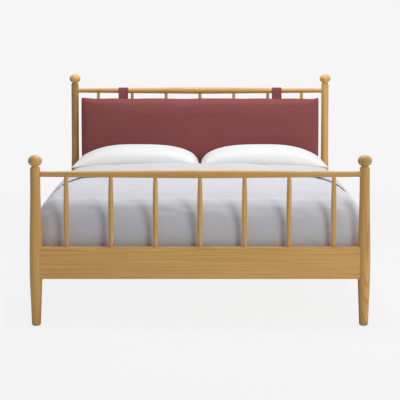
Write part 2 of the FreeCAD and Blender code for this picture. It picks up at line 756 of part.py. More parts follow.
def make_centre_rail():
    """The rail under the middle of the slats, with a socket below for the leg's tenon."""
    rail = new_body("centre_rail")
    section = new_sketch(rail, "section", "XZ_Plane")
    half = "sheet.centre_rail_width / 2"
    draw_rectangle(section, f"-{half}", half, CENTRE_RAIL_BOTTOM, SLAT_BOTTOM)
    extrude(section, f"2 * {CENTRE_RAIL_END}", 0)
    top = f"{CENTRE_RAIL_BOTTOM} + sheet.centre_leg_tenon_length + sheet.bore_end_gap"
    socket = new_sketch(rail, "leg_socket", "XY_Plane", top)
    draw_circle(socket, "0", "sheet.centre_leg_offset",
                "sheet.centre_leg_tenon_diameter + 2 * sheet.wood_fit")
    cut(socket, "sheet.centre_rail_depth", -1)


def make_centre_leg():
    """A square leg under the centre rail, with a round tenon above and a bore for its glide."""
    leg = new_body("centre_leg", "0", "sheet.centre_leg_offset")
    section = new_sketch(leg, "section", "XY_Plane", "sheet.glide_height")
    half = "sheet.centre_leg_width / 2"
    draw_rectangle(section, f"-{half}", half, f"-{half}", half)
    block = extrude(section, f"{CENTRE_RAIL_BOTTOM} - sheet.glide_height")
    chamfer = leg.newObject("PartDesign::Chamfer", "centre_leg_chamfer")
    chamfer.Base = (block, edges_where(block, ALONG_Z))
    chamfer.setExpression("Size", "sheet.centre_leg_chamfer")
    tenon = new_sketch(leg, "tenon", "XY_Plane", CENTRE_RAIL_BOTTOM)
    draw_circle(tenon, "0", "0", "sheet.centre_leg_tenon_diameter")
    extrude(tenon, "sheet.centre_leg_tenon_length")
    bore = new_sketch(leg, "glide_bore", "XY_Plane",
                      "sheet.glide_height + sheet.glide_stem_length + sheet.bore_end_gap")
    draw_circle(bore, "0", "0", "sheet.glide_stem_diameter + 2 * sheet.wood_fit")
    cut(bore, "2 * sheet.glide_stem_length", -1)

    glide = new_body("centre_leg_glide", "0", "sheet.centre_leg_offset")
    foot, stem = "sheet.glide_diameter / 2", "sheet.glide_stem_diameter / 2"
    height = "sheet.glide_height"
    profile = new_sketch(glide, "profile", "XZ_Plane")
    draw_outline(profile, [
        ("0", "0"),
        (f"{foot} - {height} / 4", "0"),
        (foot, f"{height} / 4"),
        (foot, f"{height} * 3 / 4"),
        (f"{foot} - {height} / 4", height),
        (stem, height),
        (stem, f"{height} + sheet.glide_stem_length"),
        ("0", f"{height} + sheet.glide_stem_length"),
    ])
    turn(profile)


def make_hangers():
    """Two pressed steel hangers, one at each end, that hold up the centre rail."""
    hangers = new_body("centre_rail_hangers")
    sheet_metal = "sheet.hanger_thickness"
    inner = "(sheet.centre_rail_width / 2 + sheet.hanger_side_gap)"
    outer = f"({inner} + {sheet_metal})"
    floor = f"({CENTRE_RAIL_BOTTOM} - {sheet_metal})"
    start = f"{INNER_LENGTH} / 2"
    plate = new_sketch(hangers, "plate", "XZ_Plane", start)
    draw_rectangle(plate, "-sheet.hanger_plate_width / 2", "sheet.hanger_plate_width / 2",
                   floor, SLAT_BOTTOM)
    extrude(plate, sheet_metal, -1)
    stirrup = new_sketch(hangers, "stirrup", "XZ_Plane", start)
    draw_outline(stirrup, [
        (f"-{outer}", SLAT_BOTTOM),
        (f"-{outer}", floor),
        (outer, floor),
        (outer, SLAT_BOTTOM),
        (inner, SLAT_BOTTOM),
        (inner, CENTRE_RAIL_BOTTOM),
        (f"-{inner}", CENTRE_RAIL_BOTTOM),
        (f"-{inner}", SLAT_BOTTOM),
    ])
    extrude(stirrup, "sheet.hanger_length", -1)
    bores = new_sketch(hangers, "screw_bores", "XZ_Plane", start)
    for x, height in HANGER_SCREWS:
        draw_circle(bores, x, height, "sheet.screw_diameter + sheet.plate_hole_fit")
    cut(bores, f"4 * {sheet_metal}", 0)
    copy_whole(hangers, "XZ_Plane")


# ---------------------------------------------------------------- fasteners and pads

def draw_screw(sketch, across, head_base, bite, grip):
    """Half a round-head screw that points outward, with the underside of its head at head_base."""
    shank = f"{across} + sheet.screw_diameter / 2"
    head = f"{across} + sheet.screw_head_diameter / 2"
    tip = f"{head_base} + {grip} + {bite}"
    crest = f"{head_base} - sheet.screw_head_height"
    draw_outline(sketch, [
        (crest, across),
        through(f"{head_base} - {ARC_RUN} * sheet.screw_head_height",
                f"{across} + {ARC_RUN} * sheet.screw_head_diameter / 2"),
        (head_base, head),
        (head_base, shank),
        (f"{tip} - sheet.screw_diameter", shank),
        (tip, across),
    ])


def make_ledge_screws():
    """The screws that hold both ledges, driven outward into the side rails."""
    screws = new_body("ledge_screws")
    head_base = f"({SIDE_RAIL_INNER} - sheet.ledge_width)"
    profile = new_sketch(screws, "profile", "XZ_Plane", f"-{LEDGE_SCREW_END}")
    draw_screw(profile, LEDGE_SCREW_Z, head_base, "sheet.ledge_screw_bite", "sheet.ledge_width")
    turn_at_height(profile, LEDGE_SCREW_Z)
    row_whole(screws, "XZ_Plane", f"2 * {LEDGE_SCREW_END}", "sheet.ledge_screw_count")
    copy_whole(screws, "YZ_Plane")


def make_hanger_screws():
    """The screws that hold both hangers to the lower rails."""
    screws = new_body("hanger_screws")
    head_base = f"({INNER_LENGTH} / 2 - sheet.hanger_thickness)"
    profile = new_sketch(screws, "profile", "YZ_Plane", "-sheet.hanger_screw_offset")
    draw_screw(profile, HANGER_SCREW_LOW, head_base, "sheet.hanger_screw_bite",
               "sheet.hanger_thickness")
    turn_at_height(profile, HANGER_SCREW_LOW)
    row_whole(screws, "XY_Plane", f"{HANGER_SCREW_HIGH} - {HANGER_SCREW_LOW}", "2")
    copy_whole(screws, "YZ_Plane")
    copy_whole(screws, "XZ_Plane")


def copy_to_corners(body):
    """Repeat a pair of fittings at all four corners of the bed."""
    row_whole(body, "XY_Plane", "sheet.stud_spacing", "2")
    copy_whole(body, "YZ_Plane")
    copy_whole(body, "XZ_Plane")


def make_bed_studs():
    """Threaded studs that run from each post into the end of a side rail."""
    studs = new_body("bed_studs")
    tip = f"({NUT_FACE} - sheet.washer_thickness - sheet.nut_thickness - sheet.stud_tip)"
    circle = new_sketch(studs, "circle", "XZ_Plane", tip)
    draw_circle(circle, POST_X, STUD_LOW, "sheet.stud_diameter")
    extrude(circle, f"{POST_Y} - sheet.stud_stop - {tip}")
    copy_to_corners(studs)


def make_bed_washers():
    """Half-round washers that press on the flat end of each recess."""
    washers = new_body("bed_washers")
    face = new_sketch(washers, "face", "XZ_Plane", NUT_FACE)
    low = f"{STUD_LOW} - sheet.washer_height / 2"
    high = f"{STUD_LOW} + sheet.washer_height / 2"
    inner = f"({POST_X} - sheet.washer_width / 2)"
    shoulder = f"{inner} + sheet.washer_shoulder"
    outer = f"{POST_X} + sheet.stud_diameter / 2 + sheet.washer_rim"
    draw_outline(face, [(shoulder, low), (outer, low), (outer, high), (shoulder, high),
                        through(inner, STUD_LOW)])
    draw_circle(face, POST_X, STUD_LOW, "sheet.stud_diameter + 2 * sheet.stud_fit")
    extrude(face, "sheet.washer_thickness", -1)
    copy_to_corners(washers)


def make_bed_nuts():
    """Hexagon nuts on the studs, behind the washers."""
    nuts = new_body("bed_nuts")
    face = new_sketch(nuts, "face", "XZ_Plane", f"{NUT_FACE} - sheet.washer_thickness")
    flat = "sheet.nut_width / 2"
    corner = "sheet.nut_width / 2 / sqrt(3)"
    draw_outline(face, [
        (f"{POST_X} + {flat}", f"{STUD_LOW} - {corner}"),
        (f"{POST_X} + {flat}", f"{STUD_LOW} + {corner}"),
        (POST_X, f"{STUD_LOW} + 2 * {corner}"),
        (f"{POST_X} - {flat}", f"{STUD_LOW} + {corner}"),
        (f"{POST_X} - {flat}", f"{STUD_LOW} - {corner}"),
        (POST_X, f"{STUD_LOW} - 2 * {corner}"),
    ])
    draw_circle(face, POST_X, STUD_LOW, "sheet.stud_diameter + sheet.wood_fit")
    extrude(face, "sheet.nut_thickness", -1)
    copy_to_corners(nuts)


def make_floor_pads():
    """Felt pads under the four posts."""
    pads = new_body("floor_pads")
    circle = new_sketch(pads, "circle", "XY_Plane")
    draw_circle(circle, POST_X, POST_Y, "sheet.pad_diameter")
    extrude(circle, "sheet.pad_thickness")
    copy_whole(pads, "YZ_Plane")
    copy_whole(pads, "XZ_Plane")


# ---------------------------------------------------------------- mattress, duvet and pillows

def draw_rounded_rectangle(sketch, half_width, low, high, radius):
    """A rectangle with round corners, evenly about the sketch's vertical axis."""
    lean = f"{ARC_LEAN} * {radius}"
    draw_outline(sketch, [
        (f"-{half_width} + {radius}", low),
        (f"{half_width} - {radius}", low),
        through(f"{half_width} - {lean}", f"{low} + {lean}"),
        (half_width, f"{low} + {radius}"),
        (half_width, f"{high} - {radius}"),
        through(f"{half_width} - {lean}", f"{high} - {lean}"),
        (f"{half_width} - {radius}", high),
        (f"-{half_width} + {radius}", high),
        through(f"-{half_width} + {lean}", f"{high} - {lean}"),
        (f"-{half_width}", f"{high} - {radius}"),
        (f"-{half_width}", f"{low} + {radius}"),
        through(f"-{half_width} + {lean}", f"{low} + {lean}"),
    ])


def make_mattress():
    mattress = new_body("mattress")
    plan = new_sketch(mattress, "plan", "XY_Plane", MATTRESS_BOTTOM)
    draw_rounded_rectangle(plan, "(sheet.mattress_width / 2)", f"(-{MATTRESS_FOOT})", MATTRESS_HEAD,
                           "sheet.mattress_corner_radius")
    block = extrude(plan, "sheet.mattress_height")
    low, high = level_edge(value(MATTRESS_BOTTOM)), level_edge(value(MATTRESS_TOP))
    round_edges(block, lambda edge: low(edge) or high(edge), "sheet.mattress_edge_radius")


def draw_duvet_section(sketch, half_width, top, radius, low):
    """The arch that a cover makes over the mattress, seen from the foot."""
    lean = f"{ARC_LEAN} * {radius}"
    draw_outline(sketch, [
        (f"-{half_width}", low),
        (f"-{half_width}", f"{top} - {radius}"),
        through(f"-{half_width} + {lean}", f"{top} - {lean}"),
        (f"-{half_width} + {radius}", top),
        (f"{half_width} - {radius}", top),
        through(f"{half_width} - {lean}", f"{top} - {lean}"),
        (half_width, f"{top} - {radius}"),
        (half_width, low),
    ])


def make_duvet():
    """The cover over the mattress, hung over both sides, tucked in at the foot and folded back."""
    duvet = new_body("duvet")
    low = "sheet.duvet_side_drop"
    past = "sheet.cut_margin"
    rail_outer = f"({POST_X} + sheet.side_rail_thickness / 2)"
    reach = f"({rail_outer} + sheet.duvet_side_clear)"
    top = f"({BED_TOP} + sheet.duvet_thickness)"
    foot = f"({INNER_LENGTH} / 2 - sheet.duvet_foot_clear)"

    # The part that is folded back lies over the rest as a second, wider arch.
    fold_reach = f"({reach} + sheet.fold_thickness)"
    fold_top = f"({top} + sheet.fold_thickness)"
    fold = new_sketch(duvet, "fold", "XZ_Plane", FOLD_LINE)
    draw_duvet_section(fold, fold_reach, fold_top,
                       "(sheet.duvet_shoulder_radius + sheet.fold_thickness)",
                       f"{low} + sheet.fold_inset")
    extrude(fold, "sheet.fold_corner_depth", -1)
    hem = new_sketch(duvet, "fold_hem", "XY_Plane", low)
    outside = f"({fold_reach} + sheet.fold_thickness)"
    bend = f"({FOLD_LINE} - sheet.fold_depth)"
    corner = f"({FOLD_LINE} - sheet.fold_corner_depth)"
    draw_outline(hem, [
        (f"-{outside}", f"{corner} - sheet.fold_thickness"),
        (outside, f"{corner} - sheet.fold_thickness"),
        (outside, corner),
        through("0", bend),
        (f"-{outside}", corner),
    ])
    cut(hem, f"{fold_top} - {low} + {past}", 1)

    arch = new_sketch(duvet, "arch", "XZ_Plane", FOLD_LINE)
    draw_duvet_section(arch, reach, top, "sheet.duvet_shoulder_radius", low)
    cover = extrude(arch, f"{FOLD_LINE} + {foot}", -1)
    foot_face, foot_low = -value(foot), value(f"{low} + {past}")

    def on_foot_face(edge):
        box = edge.BoundBox
        return abs(box.YMin - foot_face) < NEAR and abs(box.YMax - foot_face) < NEAR and box.ZMax > foot_low

    round_edges(cover, on_foot_face, "sheet.duvet_foot_radius")

    # The hollow that holds the mattress.
    gap = "sheet.duvet_rail_gap"
    mattress_half = f"(sheet.mattress_width / 2 + {gap})"
    hollow = new_sketch(duvet, "hollow", "XZ_Plane", f"-({MATTRESS_FOOT} + {gap})")
    draw_rectangle(hollow, f"-{mattress_half}", mattress_half, f"{low} - {past}", BED_TOP)
    cut(hollow, "2 * sheet.mattress_length", 1)
    # The foot of the duvet ends below the mattress, inside the lower rail.
    foot_end = f"-{foot} - {past}"
    rail_half = f"({rail_outer} + {gap})"
    skirt = new_sketch(duvet, "skirt", "XZ_Plane", foot_end)
    draw_rectangle(skirt, f"-{rail_half}", rail_half, f"{low} - {past}", "sheet.duvet_foot_drop")
    cut(skirt, "2 * sheet.mattress_length", 1)
    over_rail = f"({RAIL_TOP} + {gap})"
    hem = f"({over_rail} - sheet.duvet_foot_drop)"
    for side_name, side in SIDES:
        # The foot's hem curves up to the underside of the part that crosses the side rail.
        inner = f"{side} * {mattress_half}"
        bend = new_sketch(duvet, f"bend_{side_name}", "XZ_Plane", foot_end)
        below = f"sheet.duvet_foot_drop - {past}"
        draw_outline(bend, [
            (inner, over_rail),
            through(f"{side} * ({mattress_half} - {ARC_LEAN} * {hem})",
                    f"sheet.duvet_foot_drop + {ARC_LEAN} * {hem}"),
            (f"{side} * ({mattress_half} - {hem})", "sheet.duvet_foot_drop"),
            (f"{side} * ({mattress_half} - {hem})", below),
            (f"{side} * ({mattress_half} + {past})", below),
            (f"{side} * ({mattress_half} + {past})", over_rail),
        ])
        cut(bend, f"sheet.duvet_corner_length + {past}", 1)
        # Room for the side rail, and the corner beside the foot post drawn up clear of the post.
        far = f"{side} * ({reach} + {past})"
        for name, outer, length in (("slot", f"{side} * {rail_half}", "2 * sheet.mattress_length"),
                                    ("corner", far, f"sheet.duvet_corner_length + {past}")):
            room = new_sketch(duvet, f"{name}_{side_name}", "XZ_Plane", foot_end)
            edges = (outer, inner) if side < 0 else (inner, outer)
            draw_rectangle(room, *edges, f"{low} - {past}", over_rail)
            cut(room, length, 1)


def make_pillow(side_name, x_side):
    pillow = new_body(f"pillow_{side_name}",
                      f"{x_side} * (sheet.pillow_width + sheet.pillow_middle_gap) / 2")
    plan = new_sketch(pillow, "plan", "XY_Plane", BED_TOP)
    draw_rounded_rectangle(plan, "(sheet.pillow_width / 2)", PILLOW_FRONT, PILLOW_BACK,
                           "sheet.pillow_corner_radius")
    block = extrude(plan, "sheet.pillow_height")
    top = value(f"{BED_TOP} + sheet.pillow_height")
    upper = round_edges(block, level_edge(top), "sheet.pillow_top_radius")
    round_edges(upper, level_edge(value(BED_TOP)), "sheet.pillow_bottom_radius")


# ---------------------------------------------------------------- headboard cushion

def make_cushion():
    """A long flat cushion that hangs in front of the head spindles."""
    cushion = new_body("headboard_cushion")
    front = new_sketch(cushion, "front", "XZ_Plane", CUSHION_FRONT)
    half = "sheet.cushion_width / 2"
    draw_rectangle(front, f"-{half}", half, CUSHION_BOTTOM, CUSHION_TOP)
    block = extrude(front, "sheet.cushion_thickness")
    round_edges(block, lambda edge: True, "sheet.cushion_edge_radius")


def rail_radius_at(x):
    """Radius of a top rail at a distance from its middle, on the straight taper."""
    half_crown = "sheet.top_rail_crown_length / 2"
    slope = (f"(({crown_radius()} - sheet.top_rail_end_diameter / 2)"
             f" / ({POST_X} - sheet.top_rail_seat - {half_crown}))")
    return f"({crown_radius()} - {slope} * ({x} - {half_crown}))"


STRAP_INNER = f"({rail_radius_at(f'({STRAP_X} - sheet.strap_width / 2)')} + sheet.strap_rail_gap)"
STRAP_TAIL_TOP = f"({CUSHION_TOP} - sheet.strap_tail_drop)"
STRAP_TAIL_END = f"({STRAP_TAIL_TOP} - sheet.strap_tail_length)"


def leaves_rail(radius, y, z, side):
    """Where a strap that comes from a point below leaves a circle round the head rail."""
    across, down = f"({POST_Y} - {y})", f"({HEAD_RAIL_Z} - {z})"
    square = f"({across}^2 + {down}^2)"
    tangent = f"sqrt({square} - {radius}^2)"
    return (f"{POST_Y} + {radius} * ({side} * {down} * {tangent} - {across} * {radius}) / {square}",
            f"{HEAD_RAIL_Z} - {radius} * ({side} * {across} * {tangent} + {down} * {radius}) / {square}")


def make_strap(side_name, x_side):
    """A strap sewn to the cushion's top, taken over the head rail and fastened behind."""
    strap = new_body(f"cushion_strap_{side_name}", f"{x_side} * {STRAP_X}")
    side = new_sketch(strap, "side", "YZ_Plane")
    thick = "sheet.strap_thickness"
    outer = f"({STRAP_INNER} + {thick})"
    seam = f"({CUSHION_BACK} - sheet.strap_seam_depth)"
    seam_z = f"({CUSHION_TOP} - sheet.strap_seam_sink)"
    tail = f"({CUSHION_BACK} + {thick})"
    draw_outline(side, [
        (f"{seam} - {thick}", seam_z),
        leaves_rail(outer, f"({seam} - {thick})", seam_z, -1),
        through(POST_Y, f"{HEAD_RAIL_Z} + {outer}"),
        leaves_rail(outer, tail, STRAP_TAIL_TOP, 1),
        (tail, STRAP_TAIL_TOP),
        (tail, STRAP_TAIL_END),
        (CUSHION_BACK, STRAP_TAIL_END),
        (CUSHION_BACK, STRAP_TAIL_TOP),
        leaves_rail(STRAP_INNER, CUSHION_BACK, STRAP_TAIL_TOP, 1),
        through(POST_Y, f"{HEAD_RAIL_Z} + {STRAP_INNER}"),
        leaves_rail(STRAP_INNER, seam, seam_z, -1),
        (seam, seam_z),
    ])
    extrude(side, "sheet.strap_width", 0)


def make_press_studs():
    """Press studs that close the straps' tails, two on each strap."""
    studs = new_body("strap_press_studs")
    face = new_sketch(studs, "face", "XZ_Plane", f"{CUSHION_BACK} + sheet.strap_thickness")
    draw_circle(face, f"{STRAP_X} - sheet.press_stud_spacing / 2",
                f"{STRAP_TAIL_END} + sheet.press_stud_edge", "sheet.press_stud_diameter")
    extrude(face, "sheet.press_stud_height")
    row_whole(studs, "YZ_Plane", "sheet.press_stud_spacing", "2")
    copy_whole(studs, "YZ_Plane")


# ---------------------------------------------------------------- the whole bed

ENDS = [
    ("foot", -1, "sheet.foot_post_slim_diameter", FOOT_POST_TOP, FOOT_RAIL_Z,
     "sheet.foot_spindle_belly_rise"),
    ("head", 1, "sheet.head_post_slim_diameter", HEAD_POST_TOP, HEAD_RAIL_Z,
     "sheet.head_spindle_belly_rise"),
]

for end_name, y_side, slim_diameter, post_top, rail_height, belly_rise in ENDS:
    for side_name, x_side in SIDES:
        make_post(end_name, side_name, x_side, y_side, slim_diameter, post_top, rail_height)
        make_finial(end_name, side_name, x_side, y_side, post_top)
    make_top_rail(end_name, y_side, rail_height)
    make_lower_rail(end_name, y_side)
    for number in range(1, round(value("sheet.spindle_count")) + 1):
        make_spindle(end_name, number, y_side, rail_height, belly_rise)

for side_name, x_side in SIDES:
    make_side_rail(side_name, x_side)
    make_ledge(side_name, x_side)
    make_pillow(side_name, x_side)
    make_strap(side_name, x_side)
for number in range(1, round(value("sheet.slat_count")) + 1):
    make_slat(number)

make_centre_rail()
make_centre_leg()
make_hangers()
make_ledge_screws()
make_hanger_screws()
make_bed_studs()
make_bed_washers()
make_bed_nuts()
make_floor_pads()
make_mattress()
make_duvet()
make_cushion()
make_press_studs()

doc.recompute()

for item in doc.Objects:
    if "Invalid" in item.State or "Error" in item.State:
        raise RuntimeError(f"{item.Label} did not build: {item.State}")
for base, feature in cuts:
    if feature.Shape.Volume >= base.Shape.Volume - 1:
        raise RuntimeError(f"{feature.Label} removes nothing")
for body in finished:
    if body.Shape.isNull() or not body.Shape.isValid():
        raise RuntimeError(f"{body.Label} has no valid shape")

os.makedirs("parts", exist_ok=True)
for body in finished:
    body.Shape.exportStep(f"parts/{body.Label}.step")
    print(f"{body.Label:24s} {len(body.Shape.Solids):2d} solids  {body.Shape.Volume / 1e3:10.1f} cm3")
print(len(finished), "nodes")
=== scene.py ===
# %% [markdown]
# # A turned oak bed, made up for the night
# This script dresses the bed's construction model for a picture. The frame (posts, rails, spindles,
# slats and fittings) arrives as finished solids, so here it only gets its wood and its metal.
# Everything soft is modelled anew: the cushion, the straps, the pillows, the duvet and the mattress.
# Each step has a short note like this one, then the code that does it.

# %% Load the construction model
import math
import random

import bmesh
import bpy
from mathutils import Euler, Matrix, Vector, noise
from mathutils.bvhtree import BVHTree


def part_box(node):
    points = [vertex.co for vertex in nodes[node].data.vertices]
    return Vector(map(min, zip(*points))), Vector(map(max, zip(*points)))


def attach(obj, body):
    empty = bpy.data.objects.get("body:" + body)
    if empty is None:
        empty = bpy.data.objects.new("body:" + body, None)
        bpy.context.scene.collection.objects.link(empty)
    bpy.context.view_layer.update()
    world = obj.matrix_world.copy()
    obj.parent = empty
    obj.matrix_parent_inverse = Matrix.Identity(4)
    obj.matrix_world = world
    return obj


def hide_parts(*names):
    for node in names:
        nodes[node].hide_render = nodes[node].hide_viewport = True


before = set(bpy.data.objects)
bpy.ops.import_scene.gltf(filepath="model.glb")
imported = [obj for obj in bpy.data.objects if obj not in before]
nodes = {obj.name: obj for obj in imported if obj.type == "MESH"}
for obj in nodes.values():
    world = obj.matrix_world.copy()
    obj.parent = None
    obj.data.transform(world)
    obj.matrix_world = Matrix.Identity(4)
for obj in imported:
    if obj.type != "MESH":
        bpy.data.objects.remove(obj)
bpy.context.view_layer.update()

# %% [markdown]
# ## Small helpers for materials
# A material in Blender is a graph of nodes. Writing each node and each link by hand is long, so these
# helpers add a node, fill its inputs, and link an input when it is given another node's output.

# %% Helpers for material graphs
def add_node(material, kind, inputs=None, **settings):
    """Add a shader node; an input is a plain value or another node's output."""
    made = material.node_tree.nodes.new(kind)
    for name, setting in settings.items():
        setattr(made, name, setting)
    for name, given in (inputs or {}).items():
        if isinstance(given, bpy.types.NodeSocket):
            material.node_tree.links.new(given, made.inputs[name])
        else:
            made.inputs[name].default_value = given
    return made


def calculate(material, operation, first, second=0.0, clamp=False):
    """Sum, product, sine and so on of one or two numbers."""
    return add_node(material, "ShaderNodeMath", {0: first, 1: second},
                    operation=operation, use_clamp=clamp).outputs[0]


def blend_colours(material, share, first, second):
    """Mix two colours; share 0 gives the first."""
    mix = add_node(material, "ShaderNodeMix", data_type="RGBA")
    for name, given in (("Factor_Float", share), ("A_Color", first), ("B_Color", second)):
        socket = next(item for item in mix.inputs if item.identifier == name)
        if isinstance(given, bpy.types.NodeSocket):
            material.node_tree.links.new(given, socket)
        else:
            socket.default_value = given
    return next(item for item in mix.outputs if item.identifier == "Result_Color")


def ramp(material, share, stops):
    """Turn a number into a colour by a list of (place, colour)."""
    made = add_node(material, "ShaderNodeValToRGB", {"Fac": share})
    elements = made.color_ramp.elements
    while len(elements) < len(stops):
        elements.new(0.5)
    for element, (place, colour) in zip(elements, stops):
        element.position = place
        element.color = colour
    return made.outputs["Color"]


def linear(red, green, blue):
    """A colour as a picture program shows it, 0 to 255, made ready for the shaders."""
    parts = [part / 255 for part in (red, green, blue)]
    return (*[p / 12.92 if p <= 0.04045 else ((p + 0.055) / 1.055) ** 2.4 for p in parts], 1.0)


def new_material(name):
    """A material with an empty graph apart from its surface shader and output."""
    material = bpy.data.materials.new(name)
    material.use_nodes = True
    surface = material.node_tree.nodes["Principled BSDF"]
    return material, surface


def connect(material, output, surface, name):
    """Let a node's output drive one input of the surface shader."""
    material.node_tree.links.new(output, surface.inputs[name])


def dress(piece, material):
    """Give a piece one material all over."""
    piece.data.materials.clear()
    piece.data.materials.append(material)


# %% [markdown]
# ## Oak
# Real wood is solid, so its figure should run through the piece. A tree's rings are cylinders round
# its heart; a plank shows arches where it cuts them at a slant, and a turned post shows them too.
# An image could only be wrapped round the outside. Here each point asks how far it is from the
# heart of the tree it was cut from, which gives the right figure on every face, ball and end.

# %% Where a point lies in its tree
GRAIN_TURN = {"up": (0, 0, 0), "across": (0, math.pi / 2, 0), "along": (math.pi / 2, 0, 0)}


def place_in_tree(material, grain, centre, heart, tilt):
    """Turn the grain upright, with the tree's heart as the Z axis, a little aslant."""
    place = add_node(material, "ShaderNodeTexCoord").outputs["Object"]
    from_centre = add_node(material, "ShaderNodeVectorMath", {0: place, 1: tuple(centre)},
                           operation="SUBTRACT").outputs[0]
    turned = add_node(material, "ShaderNodeMapping",
                      {"Vector": from_centre, "Rotation": GRAIN_TURN[grain]}).outputs[0]
    return add_node(material, "ShaderNodeMapping",
                    {"Vector": turned, "Location": (heart[0], heart[1], 0.0),
                     "Rotation": (tilt, tilt * 0.6, 0.0)}).outputs[0]


def drawn_out_noise(material, place, across, along, **settings):
    """Noise that is stretched along the grain: a low number is a slow change."""
    stretched = add_node(material, "ShaderNodeMapping",
                         {"Vector": place, "Scale": (across, across, along)}).outputs[0]
    return add_node(material, "ShaderNodeTexNoise", {"Vector": stretched, **settings}).outputs[0]


# %% [markdown]
# The rings come from the distance to the heart: its remainder, after dividing by a ring's width, runs
# through pale early wood to a dark line and starts again. Over them lie patches of plainer wood,
# long streaks, and the open pores, which are short dark dashes. All of these run along the grain.

# %% Oak with rings, pores and flecks
OAK_LIGHT = linear(242, 198, 124)
OAK_MIDDLE = linear(226, 176, 98)
OAK_DARK = linear(172, 120, 56)
RING_WIDTH = 0.0055
RING_WANDER = 0.030
PORE_DEPTH = 0.0004


def oak(name, grain, centre, heart, tilt, light=OAK_LIGHT, middle=OAK_MIDDLE, dark=OAK_DARK, tone_and_shade=1.0):
    """Oak whose grain runs up, across or along the bed, cut at a place away from the heart."""
    material, surface = new_material(name)
    # This factor darkens all of the piece's colours: for some pieces it is the board's own tone, for others
    # painted shade.
    light, middle, dark = [(*[part * tone_and_shade for part in colour[:3]], 1.0) for colour in (light, middle, dark)]
    place = place_in_tree(material, grain, centre, heart, tilt)
    # The trunk wanders slowly, so the rings do too.
    wander = drawn_out_noise(material, place, 5.0, 0.9, Scale=1.6, Detail=2.0, Roughness=0.5)
    flat = add_node(material, "ShaderNodeVectorMath", {0: place, 1: (1.0, 1.0, 0.0)},
                    operation="MULTIPLY").outputs[0]
    from_heart = add_node(material, "ShaderNodeVectorMath", {0: flat},
                          operation="LENGTH").outputs["Value"]
    wandered = calculate(material, "ADD", from_heart,
                         calculate(material, "MULTIPLY", wander, RING_WANDER))
    rings = calculate(material, "FRACT", calculate(material, "DIVIDE", wandered, RING_WIDTH))
    ring_colour = ramp(material, rings, [(0.0, middle), (0.25, light), (0.70, middle),
                                         (0.93, dark), (1.0, middle)])
    patches = drawn_out_noise(material, place, 9.0, 1.2, Scale=1.0, Detail=3.0)
    toned = blend_colours(material, calculate(material, "MULTIPLY", patches, 0.9), ring_colour, middle)
    streaks = drawn_out_noise(material, place, 150.0, 2.2, Scale=1.0, Detail=4.0, Roughness=0.6)
    strong = add_node(material, "ShaderNodeMapRange", {"Value": streaks, "From Min": 0.38, "From Max": 0.66,
                                                       "To Min": 0.0, "To Max": 0.42}).outputs[0]
    streaked = blend_colours(material, strong, toned, dark)
    pores = drawn_out_noise(material, place, 900.0, 28.0, Scale=1.0, Detail=1.0)
    dashes = calculate(material, "MULTIPLY",
                       calculate(material, "SUBTRACT", pores, 0.58), 6.0, clamp=True)
    colour = blend_colours(material, calculate(material, "MULTIPLY", dashes, 0.35), streaked, dark)
    connect(material, colour, surface, "Base Color")
    rough = calculate(material, "ADD", calculate(material, "MULTIPLY", streaks, 0.22), 0.36)
    connect(material, rough, surface, "Roughness")
    height = calculate(material, "SUBTRACT", calculate(material, "MULTIPLY", streaks, 0.35), dashes)
    bump = add_node(material, "ShaderNodeBump",
                    {"Height": height, "Strength": 0.25, "Distance": PORE_DEPTH})
    connect(material, bump.outputs[0], surface, "Normal")
    surface.inputs["Coat Weight"].default_value = 0.12
    surface.inputs["Coat Roughness"].default_value = 0.35
    return material


# %% [markdown]
# Every piece is sawn from its own part of the tree. The loop gives each one its own place from the
# heart and its own slant, drawn from a seeded random source so that each run gives the same bed.
# Pieces also differ in tone, as boards do, and the few that stand out are named here: the right foot finial
# is a darker board and the two top rails are made darker, while the left head post, in the cushion's
# shadow, and the right foot post, shaded on its left side, are darkened as painted shade.

# %% Oak for the posts, finials, spindles and rails
sawmill = random.Random(7)
# Darkening factors: painted shade on the left head post (the cushion's shadow) and on the right foot post
# (its shaded left side); the right foot finial is a darker board, and the top rails are made darker.
TONE_AND_PAINTED_SHADE = {"head_post_left": 0.55, "foot_finial_right": 0.72, "foot_post_right": 0.88,
         "foot_top_rail": 0.92, "head_top_rail": 0.80}


def sawn(node, grain, near, far, **colours):
    """Give one node oak that was cut between near and far from the heart."""
    low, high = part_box(node)
    distance = sawmill.uniform(near, far)
    angle = sawmill.uniform(0, 2 * math.pi)
    heart = (distance * math.cos(angle), distance * math.sin(angle))
    material = oak(f"oak_{node}", grain, (low + high) / 2, heart, sawmill.uniform(0.008, 0.022),
                   tone_and_shade=TONE_AND_PAINTED_SHADE.get(node, 1.0), **colours)
    dress(nodes[node], material)
    return material


for node in sorted(nodes):
    if "_post_" in node or "_finial_" in node:
        sawn(node, "up", 0.05, 0.11)
    elif "_spindle_" in node:
        sawn(node, "up", 0.04, 0.09)
    elif node.endswith("_top_rail") or node.endswith("_lower_rail"):
        sawn(node, "across", 0.07, 0.10)
    elif node.startswith("side_rail"):
        sawn(node, "along", 0.07, 0.12)

# %% [markdown]
# ## Slats and hidden timber
# Slats, ledges and the centre rail are planed softwood: paler, with wider rings. The same figure
# does for them, with other colours.

# %% Softwood for the mattress support
PINE = {"light": linear(232, 205, 158), "middle": linear(222, 190, 138), "dark": linear(196, 155, 98)}

for node in sorted(nodes):
    if node.startswith("slat_ledge"):
        sawn(node, "along", 0.06, 0.12, **PINE)
    elif node.startswith("slat_"):
        sawn(node, "across", 0.05, 0.14, **PINE)
sawn("centre_rail", "along", 0.06, 0.12, **PINE)
sawn("centre_leg", "up", 0.06, 0.12, **PINE)
print(sum(1 for item in bpy.data.materials if item.name.startswith("oak_")), "pieces of timber sawn")

# %% [markdown]
# ## Steel, plastic and felt
# The fittings are small and mostly hidden: zinc-plated steel with a slightly uneven plating, a
# black moulded glide, and pressed felt under the posts.

